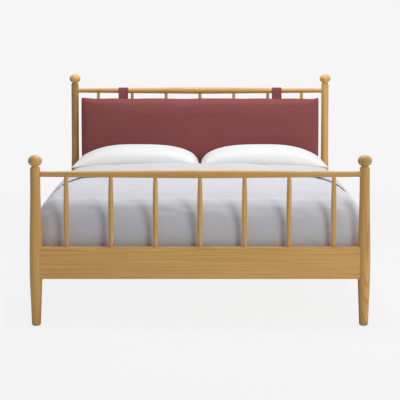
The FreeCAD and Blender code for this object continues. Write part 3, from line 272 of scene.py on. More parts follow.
# %% Fittings
def plated_steel(name, tint, roughness):
    """Plated metal with a faint mottle from the plating bath."""
    material, surface = new_material(name)
    place = add_node(material, "ShaderNodeTexCoord").outputs["Object"]
    mottle = add_node(material, "ShaderNodeTexNoise",
                      {"Vector": place, "Scale": 220.0, "Detail": 4.0}).outputs[0]
    dull = tuple(part * 0.8 for part in tint[:3]) + (1.0,)
    connect(material, blend_colours(material, mottle, tint, dull), surface, "Base Color")
    uneven = calculate(material, "ADD", calculate(material, "MULTIPLY", mottle, 0.2), roughness - 0.1)
    connect(material, uneven, surface, "Roughness")
    surface.inputs["Metallic"].default_value = 1.0
    return material


def grained_surface(name, colour, other, scale, roughness, depth):
    """A matt surface with a fine irregular grain, for plastic and felt."""
    material, surface = new_material(name)
    place = add_node(material, "ShaderNodeTexCoord").outputs["Object"]
    grain = add_node(material, "ShaderNodeTexNoise",
                     {"Vector": place, "Scale": scale, "Detail": 5.0}).outputs[0]
    connect(material, blend_colours(material, grain, colour, other), surface, "Base Color")
    bump = add_node(material, "ShaderNodeBump", {"Height": grain, "Strength": 0.6, "Distance": depth})
    connect(material, bump.outputs[0], surface, "Normal")
    surface.inputs["Roughness"].default_value = roughness
    return material


zinc = plated_steel("zinc_plate", linear(200, 203, 206), 0.38)
nickel = plated_steel("dull_nickel", linear(176, 172, 166), 0.42)
for node in ("centre_rail_hangers", "ledge_screws", "hanger_screws",
             "bed_studs", "bed_washers", "bed_nuts"):
    dress(nodes[node], zinc)
dress(nodes["strap_press_studs"], nickel)
dress(nodes["centre_leg_glide"],
      grained_surface("moulded_plastic", linear(38, 38, 40), linear(48, 48, 50), 900.0, 0.55, 0.0001))
dress(nodes["floor_pads"],
      grained_surface("pressed_felt", linear(120, 112, 102), linear(88, 82, 75), 1500.0, 0.95, 0.0006))
print(len(bpy.data.materials), "materials so far")

# %% [markdown]
# ## Cloth
# A plain weave is threads crossing at right angles. The threads follow the cloth, and each face of a
# cushion looks another way, so the weave is made three times, once for each direction, and each
# point takes the one that its surface faces.

# %% Woven cloth
def facing_shares(material):
    """How much a surface faces along X, Y and Z, as three numbers that add up to about one."""
    normal = add_node(material, "ShaderNodeTexCoord").outputs["Normal"]
    squared = add_node(material, "ShaderNodeVectorMath", {0: normal, 1: normal},
                       operation="MULTIPLY").outputs[0]
    sharper = add_node(material, "ShaderNodeVectorMath", {0: squared, 1: squared},
                       operation="MULTIPLY").outputs[0]
    return add_node(material, "ShaderNodeSeparateXYZ", {0: sharper}).outputs


def plain_weave(material, thread):
    """Height of a plain weave with threads that many metres apart."""
    place = add_node(material, "ShaderNodeTexCoord").outputs["Object"]
    along = add_node(material, "ShaderNodeSeparateXYZ", {0: place}).outputs
    waves = [calculate(material, "SINE", calculate(material, "MULTIPLY", axis, 2 * math.pi / thread))
             for axis in along]
    shares = facing_shares(material)
    total = None
    for facing, (first, second) in enumerate(((1, 2), (0, 2), (0, 1))):
        crossed = calculate(material, "MULTIPLY", waves[first], waves[second])
        part = calculate(material, "MULTIPLY", crossed, shares[facing])
        total = part if total is None else calculate(material, "ADD", total, part)
    return total


WHITE = (1, 1, 1, 1)
ROSE = linear(225, 170, 170)


def cloth(name, colour, worn, thread, nap, creases, sheen=0.25, sheen_tint=WHITE):
    """Woven cloth: nap is how much its tone varies, creases how deep its faint ripples are."""
    material, surface = new_material(name)
    place = add_node(material, "ShaderNodeTexCoord").outputs["Object"]
    weave = plain_weave(material, thread)
    patches = add_node(material, "ShaderNodeTexNoise",
                       {"Vector": place, "Scale": 4.5, "Detail": 4.0, "Roughness": 0.55}).outputs[0]
    fluff = add_node(material, "ShaderNodeTexNoise",
                     {"Vector": place, "Scale": 700.0, "Detail": 2.0}).outputs[0]
    shade = calculate(material, "ADD",
                      calculate(material, "MULTIPLY", patches, nap),
                      calculate(material, "MULTIPLY", fluff, nap * 0.5))
    threads = calculate(material, "MULTIPLY", weave, nap * 0.3)
    share = calculate(material, "ADD", shade, threads, clamp=True)
    connect(material, blend_colours(material, share, colour, worn), surface, "Base Color")
    ripple = add_node(material, "ShaderNodeTexNoise",
                      {"Vector": place, "Scale": 9.0, "Detail": 3.0, "Roughness": 0.45,
                       "Distortion": 0.6}).outputs[0]
    soft = add_node(material, "ShaderNodeBump", {"Height": ripple, "Strength": 1.0, "Distance": creases})
    fine = add_node(material, "ShaderNodeBump", {"Height": weave, "Strength": 0.35,
                                                 "Distance": thread * 0.25, "Normal": soft.outputs[0]})
    connect(material, fine.outputs[0], surface, "Normal")
    surface.inputs["Roughness"].default_value = 0.9
    surface.inputs["Sheen Weight"].default_value = sheen
    surface.inputs["Sheen Roughness"].default_value = 0.5
    surface.inputs["Sheen Tint"].default_value = sheen_tint
    surface.inputs["Specular IOR Level"].default_value = 0.2
    return material


red_cloth = cloth("dusty_red_cloth", linear(133, 73, 72), linear(145, 82, 81), 0.0011, 0.5, 0.003,
                  sheen=0.2, sheen_tint=ROSE)
# Painted shade: a darker copy of the cushion's cloth, for the straps and the seam's welt, which lie in
# shade.
shaded_red_cloth = cloth("red_cloth_painted_shade", linear(118, 64, 63), linear(130, 72, 71), 0.0011, 0.5, 0.001,
                    sheen=0.15, sheen_tint=ROSE)
white_cotton = cloth("white_cotton", linear(230, 230, 230), linear(221, 222, 225), 0.0006, 0.5, 0.003)
grey_cotton = cloth("grey_cotton", linear(210, 213, 220), linear(198, 202, 210), 0.0007, 0.7, 0.005)
plain_cotton = cloth("plain_cotton", linear(208, 210, 214), linear(197, 199, 204), 0.0007, 0.7, 0.005)
ticking = cloth("mattress_ticking", linear(232, 230, 226), linear(214, 211, 206), 0.0009, 0.6, 0.002)
print("cloths:", red_cloth.name, shaded_red_cloth.name, white_cotton.name, grey_cotton.name,
      plain_cotton.name, ticking.name)

# %% [markdown]
# ## Filling soft pieces
# A pillow is two flat cloths sewn together and filled until they swell. Blender's cloth solver can do
# the same: the shape is remeshed evenly, blown up by inside pressure for a few frames, and then kept.
# How far a point may move is capped, so that the piece stays as big as it was designed.

# %% Keep, remesh and link pieces
def keep_result(piece):
    """Turn a piece's modifiers into its mesh."""
    shown = bpy.context.evaluated_depsgraph_get()
    shown.update()
    mesh = bpy.data.meshes.new_from_object(piece.evaluated_get(shown))
    piece.modifiers.clear()
    piece.data = mesh
    for face in mesh.polygons:
        face.use_smooth = True


def remesh(piece, voxel):
    """Wrap a piece in an even mesh whose faces are voxel metres wide."""
    modifier = piece.modifiers.new("even_mesh", "REMESH")
    modifier.mode = "VOXEL"
    modifier.voxel_size = voxel
    modifier.use_smooth_shade = True
    keep_result(piece)


def link(name, mesh):
    """Put a mesh into the scene as a smooth piece."""
    piece = bpy.data.objects.new(name, mesh)
    bpy.context.scene.collection.objects.link(piece)
    for face in mesh.polygons:
        face.use_smooth = True
    return piece


def link_shape(name, shape):
    """Put a shape that was built point by point into the scene."""
    mesh = bpy.data.meshes.new(name)
    shape.to_mesh(mesh)
    shape.free()
    return link(name, mesh)


def surface_of(piece):
    """A piece's surface as it is now, to measure distances from."""
    return BVHTree.FromPolygons([vertex.co.copy() for vertex in piece.data.vertices],
                                [tuple(face.vertices) for face in piece.data.polygons])


# %% Fill a shape with the cloth solver
FILL_FRAMES = 20
FILL_PRESSURE = 3.0
FILL_STIFFNESS = 20.0
FILL_REACH = 0.006    # no point moves further than this


def fill(piece):
    """Swell a closed piece as if it were stuffed."""
    start = [vertex.co.copy() for vertex in piece.data.vertices]
    modifier = piece.modifiers.new("stuffing", "CLOTH")
    settings = modifier.settings
    settings.use_pressure = True
    settings.uniform_pressure_force = FILL_PRESSURE
    settings.tension_stiffness = settings.compression_stiffness = FILL_STIFFNESS
    settings.effector_weights.gravity = 0
    settings.quality = 4
    modifier.point_cache.frame_start = 1
    modifier.point_cache.frame_end = FILL_FRAMES
    scene = bpy.context.scene
    for number in range(1, FILL_FRAMES + 1):
        scene.frame_set(number)
    keep_result(piece)
    scene.frame_set(1)
    for vertex, before in zip(piece.data.vertices, start):
        move = vertex.co - before
        if move.length > FILL_REACH:
            vertex.co = before + move * (FILL_REACH / move.length)


# %% [markdown]
# ## A shape for anything stuffed
# Two sheets sewn along a knife-edge seam: the outline pulls in between its corners, and the filling
# is thickest in the middle. One function makes that lens, lying flat, for pillows and cushions.

# %% The lens of a stuffed piece
def stuffed_lens(name, width, length, over, under, pull, ears, crown, fall, steps):
    """A closed pillow shape lying flat, with its seam at height zero.

    It swells over and under the seam. pull is how far the middles of the ends and of the sides draw
    in, in metres; ears is how close to the corners that stays so; crown is how far the fullness
    reaches across and along, and fall how steeply it ends at the seam.
    """
    shape = bmesh.new()
    sheets = []
    for side in (1, -1):
        rise = over if side > 0 else under
        rows = []
        for i in range(steps[0] + 1):
            u = math.sin((i / steps[0] - 0.5) * math.pi)
            row = []
            for j in range(steps[1] + 1):
                v = math.sin((j / steps[1] - 0.5) * math.pi)
                x = u * (width / 2 - pull[0] * (1 - abs(v) ** ears[1]))
                y = v * (length / 2 - pull[1] * (1 - abs(u) ** ears[0]))
                swell = ((1 - abs(u) ** crown[0]) * (1 - abs(v) ** crown[1])) ** (1 / fall)
                row.append(shape.verts.new((x, y, side * rise * swell)))
            rows.append(row)
        sheets.append(rows)
    for side, rows in zip((1, -1), sheets):
        for i in range(steps[0]):
            for j in range(steps[1]):
                corners = [rows[i][j], rows[i + 1][j], rows[i + 1][j + 1], rows[i][j + 1]]
                shape.faces.new(corners if side > 0 else corners[::-1])
    bmesh.ops.remove_doubles(shape, verts=shape.verts, dist=1e-5)
    return link_shape(name, shape)


# %% [markdown]
# ## Skins over rings
# Much of what follows is built like a ship's hull: rings of points, one after the other, with a skin of
# four-sided faces between them. Each ring runs the same way round and has as many points. The ends
# may be shut, and Blender then turns all faces outwards.

# %% A skin over rings of points
def skin(shape, rings, shut=True):
    """Join each ring to the next with faces, and shut the first and the last ring."""
    for first, second in zip(rings, rings[1:]):
        for n in range(len(first)):
            following = (n + 1) % len(first)
            shape.faces.new((first[n], second[n], second[following], first[following]))
    if shut:
        shape.faces.new(rings[0])
        shape.faces.new(rings[-1][::-1])
    bmesh.ops.recalc_face_normals(shape, faces=shape.faces)


# %% [markdown]
# ## Seams
# Remeshing wipes out anything finer than its grid, so a seam is laid on afterwards. Its line starts as
# the outline that was planned, each point of it moves to the nearest place on the filled shape, and a
# thin round welt is swept along it.

# %% Lay a welt along a closed line
WELT_SIDES = 8


def welt(name, line, piece, radius):
    """A thin closed roll of cloth that follows a line and lies on a piece's surface."""
    surface = surface_of(piece)
    places = [surface.find_nearest(point)[0] for point in line]
    for smoothing in range(3):
        places = [(places[n - 1] + places[n] * 2 + places[(n + 1) % len(places)]) / 4
                  for n in range(len(places))]
    shape = bmesh.new()
    rings = []
    for n, point in enumerate(places):
        ahead = (places[(n + 1) % len(places)] - places[n - 1]).normalized()
        first = ahead.cross(Vector((0.3, 1.0, 0.2))).normalized()
        second = ahead.cross(first)
        angles = [2 * math.pi * k / WELT_SIDES for k in range(WELT_SIDES)]
        rings.append([shape.verts.new(point + radius * (first * math.cos(a) + second * math.sin(a)))
                      for a in angles])
    skin(shape, rings + rings[:1], shut=False)
    return link_shape(name, shape)


def lens_outline(width, length, pull, ears, count):
    """The seam line of stuffed_lens, lying flat, with count points on each side."""
    corners = [(-1, -1), (1, -1), (1, 1), (-1, 1)]
    line = []
    for (first_u, first_v), (last_u, last_v) in zip(corners, corners[1:] + corners[:1]):
        for n in range(count):
            share = math.sin((n / count - 0.5) * math.pi) / 2 + 0.5
            u, v = first_u + (last_u - first_u) * share, first_v + (last_v - first_v) * share
            line.append(Vector((u * (width / 2 - pull[0] * (1 - abs(v) ** ears[1])),
                                v * (length / 2 - pull[1] * (1 - abs(u) ** ears[0])), 0.0)))
    return line


# %% [markdown]
# ## The pillows
# Two plump white pillows lie side by side. Their undersides are flat on the mattress, so their seams
# are low and most of the filling is above them. Where they meet they are full; their outer ends
# slope down more gently.

# %% Make the pillows
PILLOW_SEAM_HEIGHT = 0.031
PILLOW_ROOM = 0.004          # left free above for the swelling
PILLOW_PULL = (0.008, 0.008)
PILLOW_EARS = (3.0, 3.0)
PILLOW_CROWN = (3.0, 3.2)
PILLOW_FALL = 1.8
OUTER_CROWN = 2.8
OUTER_FALL = 1.1
PILLOW_MESH = 0.007
BED_CLEAR = 0.0006


def make_pillow(side_name):
    """A pillow in its solid's box, fuller where it meets the other one."""
    node = f"pillow_{side_name}"
    low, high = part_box(node)
    size = high - low
    pillow = stuffed_lens(f"stuffed_{node}", size.x, size.y, size.z - PILLOW_SEAM_HEIGHT - PILLOW_ROOM,
                          PILLOW_SEAM_HEIGHT, PILLOW_PULL, PILLOW_EARS, PILLOW_CROWN, PILLOW_FALL, (60, 44))
    outward = -1 if side_name == "left" else 1
    for vertex in pillow.data.vertices:
        u = max(0.0, min(outward * vertex.co.x / (size.x / 2), 0.999))
        if vertex.co.z > 0:
            evenly = (1 - u ** PILLOW_CROWN[0]) ** (1 / PILLOW_FALL)
            vertex.co.z *= (1 - u ** OUTER_CROWN) ** (1 / OUTER_FALL) / evenly
    middle = Vector(((low.x + high.x) / 2, (low.y + high.y) / 2, low.z + PILLOW_SEAM_HEIGHT))
    pillow.data.transform(Matrix.Translation(middle))
    remesh(pillow, PILLOW_MESH)
    fill(pillow)
    for vertex in pillow.data.vertices:
        vertex.co.x = min(max(vertex.co.x, low.x), high.x)
        vertex.co.z = min(max(vertex.co.z, low.z + BED_CLEAR), high.z)
    dress(pillow, white_cotton)
    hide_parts(node)
    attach(pillow, node)
    return pillow


for side_name in ("left", "right"):
    pillow = make_pillow(side_name)
    print(pillow.name, len(pillow.data.vertices), "points")

# %% [markdown]
# ## The cushion on the headboard
# A long padded cushion with a knife-edge seam all round. Its cover is cut a little large at the
# corners, so they stand up as small ears, and between them the top edge runs straight. It is made
# lying flat like the pillows and then stood upright in front of the head spindles.

# %% Make the headboard cushion
def gentle(place, size, depth, seed):
    """A smooth random push, depth metres at most, that changes over about size metres."""
    return depth * noise.noise(Vector(place) / size + Vector((seed, seed * 0.7, seed * 1.3)))


CUSHION_SPARE = (0.008, 0.038)    # how much wider and taller than its solid the cover is cut
CUSHION_ROOM = 0.003              # left free in front and behind for the swelling
CUSHION_PULL = (0.003, 0.015)
CUSHION_EARS = (30.0, 8.0)
CUSHION_CROWN = (3.6, 3.0)
CUSHION_FALL = 1.9
CUSHION_MESH = 0.006
WELT_RADIUS = 0.0018


def make_cushion():
    """The cushion and the welt along its seam."""
    low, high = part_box("headboard_cushion")
    size = high - low
    half = size.y / 2 - CUSHION_ROOM
    width, length = size.x + CUSHION_SPARE[0], size.z + CUSHION_SPARE[1]
    cushion = stuffed_lens("stuffed_headboard_cushion", width, length, half, half, CUSHION_PULL,
                           CUSHION_EARS, CUSHION_CROWN, CUSHION_FALL, (150, 50))
    outline = lens_outline(width, length, CUSHION_PULL, CUSHION_EARS, 120)
    for place in [vertex.co for vertex in cushion.data.vertices] + outline:
        place.y += gentle((place.x, 0, 0), 0.16, 0.006, 3.1)
    upright = Matrix.Translation((low + high) / 2) @ Matrix.Rotation(math.pi / 2, 4, "X")
    cushion.data.transform(upright)
    outline = [upright @ place for place in outline]
    remesh(cushion, CUSHION_MESH)
    fill(cushion)
    for vertex in cushion.data.vertices:
        vertex.co.y = min(max(vertex.co.y, low.y), high.y)
    dress(cushion, red_cloth)
    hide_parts("headboard_cushion")
    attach(cushion, "cushion")
    seam = welt("cushion_welt", outline, cushion, WELT_RADIUS)
    # Painted shade: the welt takes the darker copy of the cushion's cloth, for the shadow along the seam.
    dress(seam, shaded_red_cloth)
    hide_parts("headboard_cushion")
    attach(seam, "cushion")
    return cushion


cushion = make_cushion()
print(cushion.name, len(cushion.data.vertices), "points")

# %% [markdown]
# ## The straps
# Two flat bands of the same cloth are sewn into the cushion's top seam; they are given a darker copy of it,
# as painted shade. Each goes up in front of the head rail, over it and down behind, where press studs close
# it. A band this thin is modelled
# directly: a line seen from the side, a cross-section with a hem along each edge, and a sweep.

# %% Make the straps
STRAP_THICKNESS = 0.003
STRAP_STEP = 0.004
STRAP_BEND_STEPS = 24
STRAP_SEWN_IN = 0.006         # how far below the cushion's top a strap starts
STRAP_TAIL_DROP = 0.045       # how far below it the tail lies flat
# From edge to edge of the band, as shares of its half width, and how thick the hemmed cloth is there.
STRAP_ACROSS = [-1.0, -0.985, -0.95, -0.86, -0.83, -0.5, 0.0, 0.5, 0.83, 0.86, 0.95, 0.985, 1.0]
STRAP_HALF_DEPTH = [0.0, 0.8, 1.0, 1.0, 0.72, 0.62, 0.6, 0.62, 0.72, 1.0, 1.0, 0.8, 0.0]


def strap_line(low, high, seam_height, tail_y, tail_top):
    """The middle of the band from its seam, over the rail, to the end of its tail, as (y, z)."""
    rail_low, rail_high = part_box("head_top_rail")
    centre = Vector(((rail_low.y + rail_high.y) / 2, (rail_low.z + rail_high.z) / 2))
    radius = high.z - centre.y - STRAP_THICKNESS / 2
    seam = Vector((low.y + STRAP_THICKNESS / 2, seam_height))
    tail = Vector((tail_y, tail_top))

    def leaving(point, side):
        """The angle at which a straight band from this point touches the circle round the rail."""
        away = point - centre
        return math.atan2(away.y, away.x) + side * math.acos(radius / away.length)

    first, last = leaving(seam, -1) % (2 * math.pi), leaving(tail, 1)
    angles = [first + (last - first) * n / STRAP_BEND_STEPS for n in range(STRAP_BEND_STEPS + 1)]
    arc = [centre + radius * Vector((math.cos(angle), math.sin(angle))) for angle in angles]
    corners = [seam, *arc, tail, Vector((tail_y, low.z))]
    line = [corners[0]]
    for start, end in zip(corners, corners[1:]):
        pieces = max(1, round((end - start).length / STRAP_STEP))
        line += [start.lerp(end, n / pieces) for n in range(1, pieces + 1)]
    return line


def make_strap(side_name):
    """A band with its hemmed cross-section carried along the strap's line."""
    low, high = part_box(f"cushion_strap_{side_name}")
    cushion_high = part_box("headboard_cushion")[1]
    line = strap_line(low, high, cushion_high.z - STRAP_SEWN_IN, cushion_high.y + STRAP_THICKNESS / 2,
                      cushion_high.z - STRAP_TAIL_DROP)
    middle, half = (low.x + high.x) / 2, (high.x - low.x) / 2
    shape = bmesh.new()
    rings = []
    for number, point in enumerate(line):
        ahead = line[min(number + 1, len(line) - 1)] - line[max(number - 1, 0)]
        out = Vector((-ahead.y, ahead.x)).normalized()
        ring = []
        for side, order in ((1, 1), (-1, -1)):
            for share, depth in list(zip(STRAP_ACROSS, STRAP_HALF_DEPTH))[::order][:-1]:
                place = point + out * side * depth * STRAP_THICKNESS / 2
                ring.append(shape.verts.new((middle + share * half, place.x, place.y)))
        rings.append(ring)
    skin(shape, rings)
    strap = link_shape(f"sewn_strap_{side_name}", shape)
    dress(strap, shaded_red_cloth)
    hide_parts(f"cushion_strap_{side_name}")
    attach(strap, "cushion")
    return strap


for side_name in ("left", "right"):
    strap = make_strap(side_name)
    print(strap.name, "is a band", round(strap.dimensions.x * 1000), "mm wide")

# %% [markdown]
# ## The duvet
# The duvet hangs over both sides and inside the foot end, and its head end is folded back over
# itself. A quilted bag full of down has no hard edges anywhere, so it is built from loaves: a loaf
# is a block with soft shoulders and rounded corners at the foot. One loaf with a smaller one taken
# out of it is the cover, and a slice of a slightly larger one, shut over it, is the part folded back.

# %% A loaf: a block with soft shoulders, square at the head end
LOAF_LEVELS = 14
LOAF_STEPS = 40        # points along each straight stretch
CORNER_STEPS = 20
LEAST_CORNER = 0.012


def smooth_step(number, start, end):
    """0 up to start, 1 from end on, and an easy slope between them."""
    share = min(max((number - start) / (end - start), 0.0), 1.0)
    return share * share * (3 - 2 * share)


def loaf_outline(edge, end, head, corner):
    """A loaf seen from above: down the right side, round the foot and up the left side."""
    outline = [(edge, head + (end + corner - head) * n / LOAF_STEPS) for n in range(LOAF_STEPS)]
    for n in range(CORNER_STEPS + 1):
        angle = math.pi / 2 * n / CORNER_STEPS
        outline.append((edge - corner + corner * math.cos(angle), end + corner - corner * math.sin(angle)))
    outline += [((edge - corner) * (1 - n / LOAF_STEPS), end) for n in range(1, LOAF_STEPS)]
    outline += [(0.0, end)]
    return outline + [(-x, y) for x, y in outline[-2::-1]]


def loaf(name, half, foot, head, top, low, side_shoulder, foot_shoulder, corner):
    """low gives the hem's height at a place; a shoulder is how far it reaches in and down."""
    shape = bmesh.new()
    rings = []
    for level in range(LOAF_LEVELS + 2):
        turn = math.pi / 2 * min(level / LOAF_LEVELS, 1.0)
        inward = 1 - math.sin(turn)
        down = 1 - math.cos(turn)
        edge = half - side_shoulder[0] * inward
        end = foot + foot_shoulder[0] * inward
        ring_corner = max(corner - (side_shoulder[0] + foot_shoulder[0]) / 2 * inward, LEAST_CORNER)
        ring = []
        for x, y in loaf_outline(edge, end, head, ring_corner):
            along = smooth_step(abs(x) - (edge - ring_corner), -0.02, ring_corner * 0.7)
            drop = side_shoulder[1] * along + foot_shoulder[1] * (1 - along)
            height = top - drop * down if level <= LOAF_LEVELS else low(x, y)
            ring.append(shape.verts.new((x, y, height)))
        rings.append(ring)
    skin(shape, rings)
    return link_shape(name, shape)


# %% [markdown]
# Loaves are put together as solids: one is cut out of another, or only what two share is kept. The
# result is remeshed evenly and then relaxed, which rounds every edge that the cutting left.

# %% Combine and relax
def combine(piece, other, operation):
    """Cut a solid out of a piece, or keep what they share; gives back the used-up solid's surface."""
    modifier = piece.modifiers.new("combine", "BOOLEAN")
    modifier.operation = operation
    modifier.object = other
    modifier.solver = "EXACT"
    keep_result(piece)
    surface = surface_of(other)
    bpy.data.objects.remove(other)
    return surface


def relax(piece, rounds):
    """Move each point halfway to its neighbours' middle, so many times."""
    modifier = piece.modifiers.new("relax", "SMOOTH")
    modifier.iterations = rounds
    modifier.factor = 0.5
    keep_result(piece)


# %% [markdown]
# A filled cover is never quite even. This step raises its middle, lets it slope towards the foot and
# adds lumps and fine wrinkles, but only on the outside: how far a point is from the hollow says
# which side it is on.

# %% Make it soft and uneven
duvet_low, duvet_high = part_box("duvet")
rail_low, rail_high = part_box("side_rail_right")
mattress_low, mattress_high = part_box("mattress")
CROWN_HEIGHT = 0.017
FOOT_SLOPE = 0.008


def puff(piece, inside):
    """Give the outside its crown, its slope to the foot and its soft unevenness."""
    piece.data.update()
    normals = [vertex.normal.copy() for vertex in piece.data.vertices]
    for vertex, normal in zip(piece.data.vertices, normals):
        place = vertex.co
        outer = smooth_step(inside.find_nearest(place)[3], 0.003, 0.009)
        upper = outer * smooth_step(place.z, mattress_high.z - 0.1505, mattress_high.z + 0.0095)
        slope = -FOOT_SLOPE * smooth_step(-place.y, 0.35, 0.95)
        across = 1 - smooth_step(abs(place.x), 0.1, 0.78)
        crown = CROWN_HEIGHT * across * smooth_step(place.y, -0.75, 0.1)
        lump = gentle(place, 0.30, 0.007, 1.7) + gentle(place, 0.11, 0.003, 5.2) - 0.002
        lump += gentle((place.x * 0.3, place.y + place.x * 0.12, place.z), 0.035, 0.003, 9.4) * upper
        vertex.co = place + normal * lump * outer + Vector((0, 0, (slope + crown) * upper))


# %% [markdown]
# Now the sizes. The cover lies over the mattress and reaches past the side rails, so both were asked
# where they are. Its hem is drawn up where it crosses a side rail. The folded part lies on top, with
# its two corners nearer the foot. It is kept as a piece of its own, so the crease stays sharp,
# and it shows the cover's other side, which is a plainer grey.

# %% The hem and the fold
FOLD_THICKNESS = 0.016
FOOT_CORNER = 0.12
SIDE_SHOULDER = (0.12, 0.21)
FOOT_SHOULDER = (0.10, 0.15)
HOLLOW_SIDE_SHOULDER = (0.10, 0.17)
HOLLOW_FOOT_SHOULDER = (0.055, 0.09)
HOLLOW_CORNER = 0.095
PAST_RAIL = 0.023             # how far the duvet hangs outside the side rails
FOOT_HEM_RISE = 0.05          # how much shorter it is at the foot
COVER_MESH = 0.008
FOLD_MESH = 0.005
FOLD_SIDE_SHOULDER = (0.122, 0.215)
FOLD_MIDDLE = -0.05           # where the fold's edge crosses the bed's middle
FOLD_ARCH = 0.10
FOLD_CORNER = 0.62            # how much nearer the foot its corners lie
FOLD_SIDE = 1.1               # and how far the edge runs back beyond them
SLICE_HALF = 0.9
SLICE_HEAD = 0.6
SLICE_HEIGHTS = (0.1, 0.9)
SLICE_STEPS = 180


def hem_height(x, y):
    """The hem is long at the sides and the foot, and drawn up where it crosses the side rail."""
    crossing = (smooth_step(abs(x), rail_low.x - 0.0135, rail_low.x - 0.0075)
                * smooth_step(-y, 0.87, 0.90))
    plain = duvet_low.z + FOOT_HEM_RISE * smooth_step(-y, 0.90, 0.99)
    return plain + (rail_high.z + 0.002 - plain) * crossing


def fold_edge(x):
    """Where the folded-back part ends: its corners lie nearer the foot than its middle does."""
    corner = FOLD_CORNER * smooth_step(abs(x), 0.60, 0.80)
    side = FOLD_SIDE * smooth_step(abs(x), 0.735, 0.785)
    return FOLD_MIDDLE - FOLD_ARCH * x * x - corner + side


def fold_slice():
    """A tall solid that holds all that lies on the head side of the fold's edge."""
    steps = [-SLICE_HALF + 2 * SLICE_HALF * n / SLICE_STEPS for n in range(SLICE_STEPS + 1)]
    outline = [(x, fold_edge(x)) for x in steps] + [(SLICE_HALF, SLICE_HEAD), (-SLICE_HALF, SLICE_HEAD)]
    shape = bmesh.new()
    rings = [[shape.verts.new((x, y, z)) for x, y in outline] for z in SLICE_HEIGHTS]
    skin(shape, rings)
    return link_shape("slice", shape)


# %% Make the duvet
def make_duvet():
    """The cover and the part folded back; gives back the cover."""
    outside = rail_high.x + PAST_RAIL
    top = mattress_high.z + 0.029
    cover = loaf("filled_duvet", outside, duvet_low.y, duvet_high.y, top, hem_height,
                 SIDE_SHOULDER, FOOT_SHOULDER, FOOT_CORNER)
    hollow = loaf("hollow", rail_high.x + 0.007, mattress_low.y - 0.004, duvet_high.y + 0.1,
                  mattress_high.z + 0.002, lambda x, y: duvet_low.z - 0.05,
                  HOLLOW_SIDE_SHOULDER, HOLLOW_FOOT_SHOULDER, HOLLOW_CORNER)
    inside = combine(cover, hollow, "DIFFERENCE")
    fold = loaf("fold", outside + 0.004, duvet_low.y, duvet_high.y, top + FOLD_THICKNESS,
                lambda x, y: duvet_low.z + 0.015, FOLD_SIDE_SHOULDER, FOOT_SHOULDER, FOOT_CORNER)
    middle = loaf("middle", outside - 0.006, duvet_low.y - 0.05, duvet_high.y + 0.1, top + 0.001,
                  lambda x, y: duvet_low.z - 0.05, SIDE_SHOULDER, FOOT_SHOULDER, FOOT_CORNER)
    cover_skin = combine(fold, middle, "DIFFERENCE")
    combine(fold, fold_slice(), "INTERSECT")

    remesh(cover, COVER_MESH)
    relax(cover, 12)
    remesh(fold, FOLD_MESH)
    relax(fold, 2)
    fold.name = "folded_back_duvet"
    for vertex in fold.data.vertices:    # the filling thins out towards the sides
        below = cover_skin.find_nearest(vertex.co)[0]
        vertex.co = below.lerp(vertex.co, 1 - 0.75 * smooth_step(abs(vertex.co.x), 0.60, 0.76))
    for piece in (cover, fold):
        puff(piece, inside)
        dress(piece, grey_cotton if piece is cover else plain_cotton)
        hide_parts("duvet")
        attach(piece, "duvet")
    return cover


duvet = make_duvet()
print(duvet.name, len(duvet.data.vertices), "points")

# %% [markdown]
# ## The mattress
# A sprung mattress has a quilted top, a stitched border and a taped edge above and below. It is
# hidden but for its sides at the head, until the bedding is lifted. A fine grid makes the top, its
# corners are rounded by turning squares into circles, and the side is a profile carried round it.

# %% The mattress's plan, quilting and border
MATTRESS_CORNER = 0.06
MATTRESS_FACES = (96, 128)    # across and along
QUILT_SPACING = 0.16
QUILT_DEPTH = 0.006
STITCH_REACH = 0.014
BORDER_PROFILE = [  # height as a share of the mattress's, and how far inside its outer edge
    (0.000, 0.060), (0.010, 0.035), (0.035, 0.017), (0.065, 0.008), (0.080, 0.005), (0.095, 0.009),
    (0.150, 0.003), (0.230, 0.002), (0.305, 0.004), (0.330, 0.008), (0.355, 0.004), (0.430, 0.002),
    (0.570, 0.002), (0.645, 0.003), (0.670, 0.007), (0.695, 0.004), (0.770, 0.006), (0.830, 0.010),
    (0.865, 0.016), (0.880, 0.020), (0.895, 0.018), (0.930, 0.024), (0.960, 0.033), (0.976, 0.039),
    (0.988, 0.046), (0.996, 0.053), (1.000, 0.062),
]


def rounded(middle, half, u, v, inset):
    """A point of the plan, with u and v from -1 to 1, whose corners are round."""
    x, y = u * (half.x - inset), v * (half.y - inset)
    over_x = abs(x) - (half.x - inset - MATTRESS_CORNER)
    over_y = abs(y) - (half.y - inset - MATTRESS_CORNER)
    if over_x > 0 and over_y > 0:
        scale = max(over_x, over_y) / math.hypot(over_x, over_y)
        x = math.copysign(half.x - inset - MATTRESS_CORNER + over_x * scale, x)
        y = math.copysign(half.y - inset - MATTRESS_CORNER + over_y * scale, y)
    return middle.x + x, middle.y + y


def quilt(x, y):
    """How far the quilting dips here: deep on the crossing lines of stitches."""
    first = abs((x + y) / QUILT_SPACING % 1 - 0.5) * QUILT_SPACING
    second = abs((x - y) / QUILT_SPACING % 1 - 0.5) * QUILT_SPACING
    dips = [math.exp(-(away / STITCH_REACH) ** 2) for away in (first, second)]
    return QUILT_DEPTH * (dips[0] + dips[1]) / 1.3


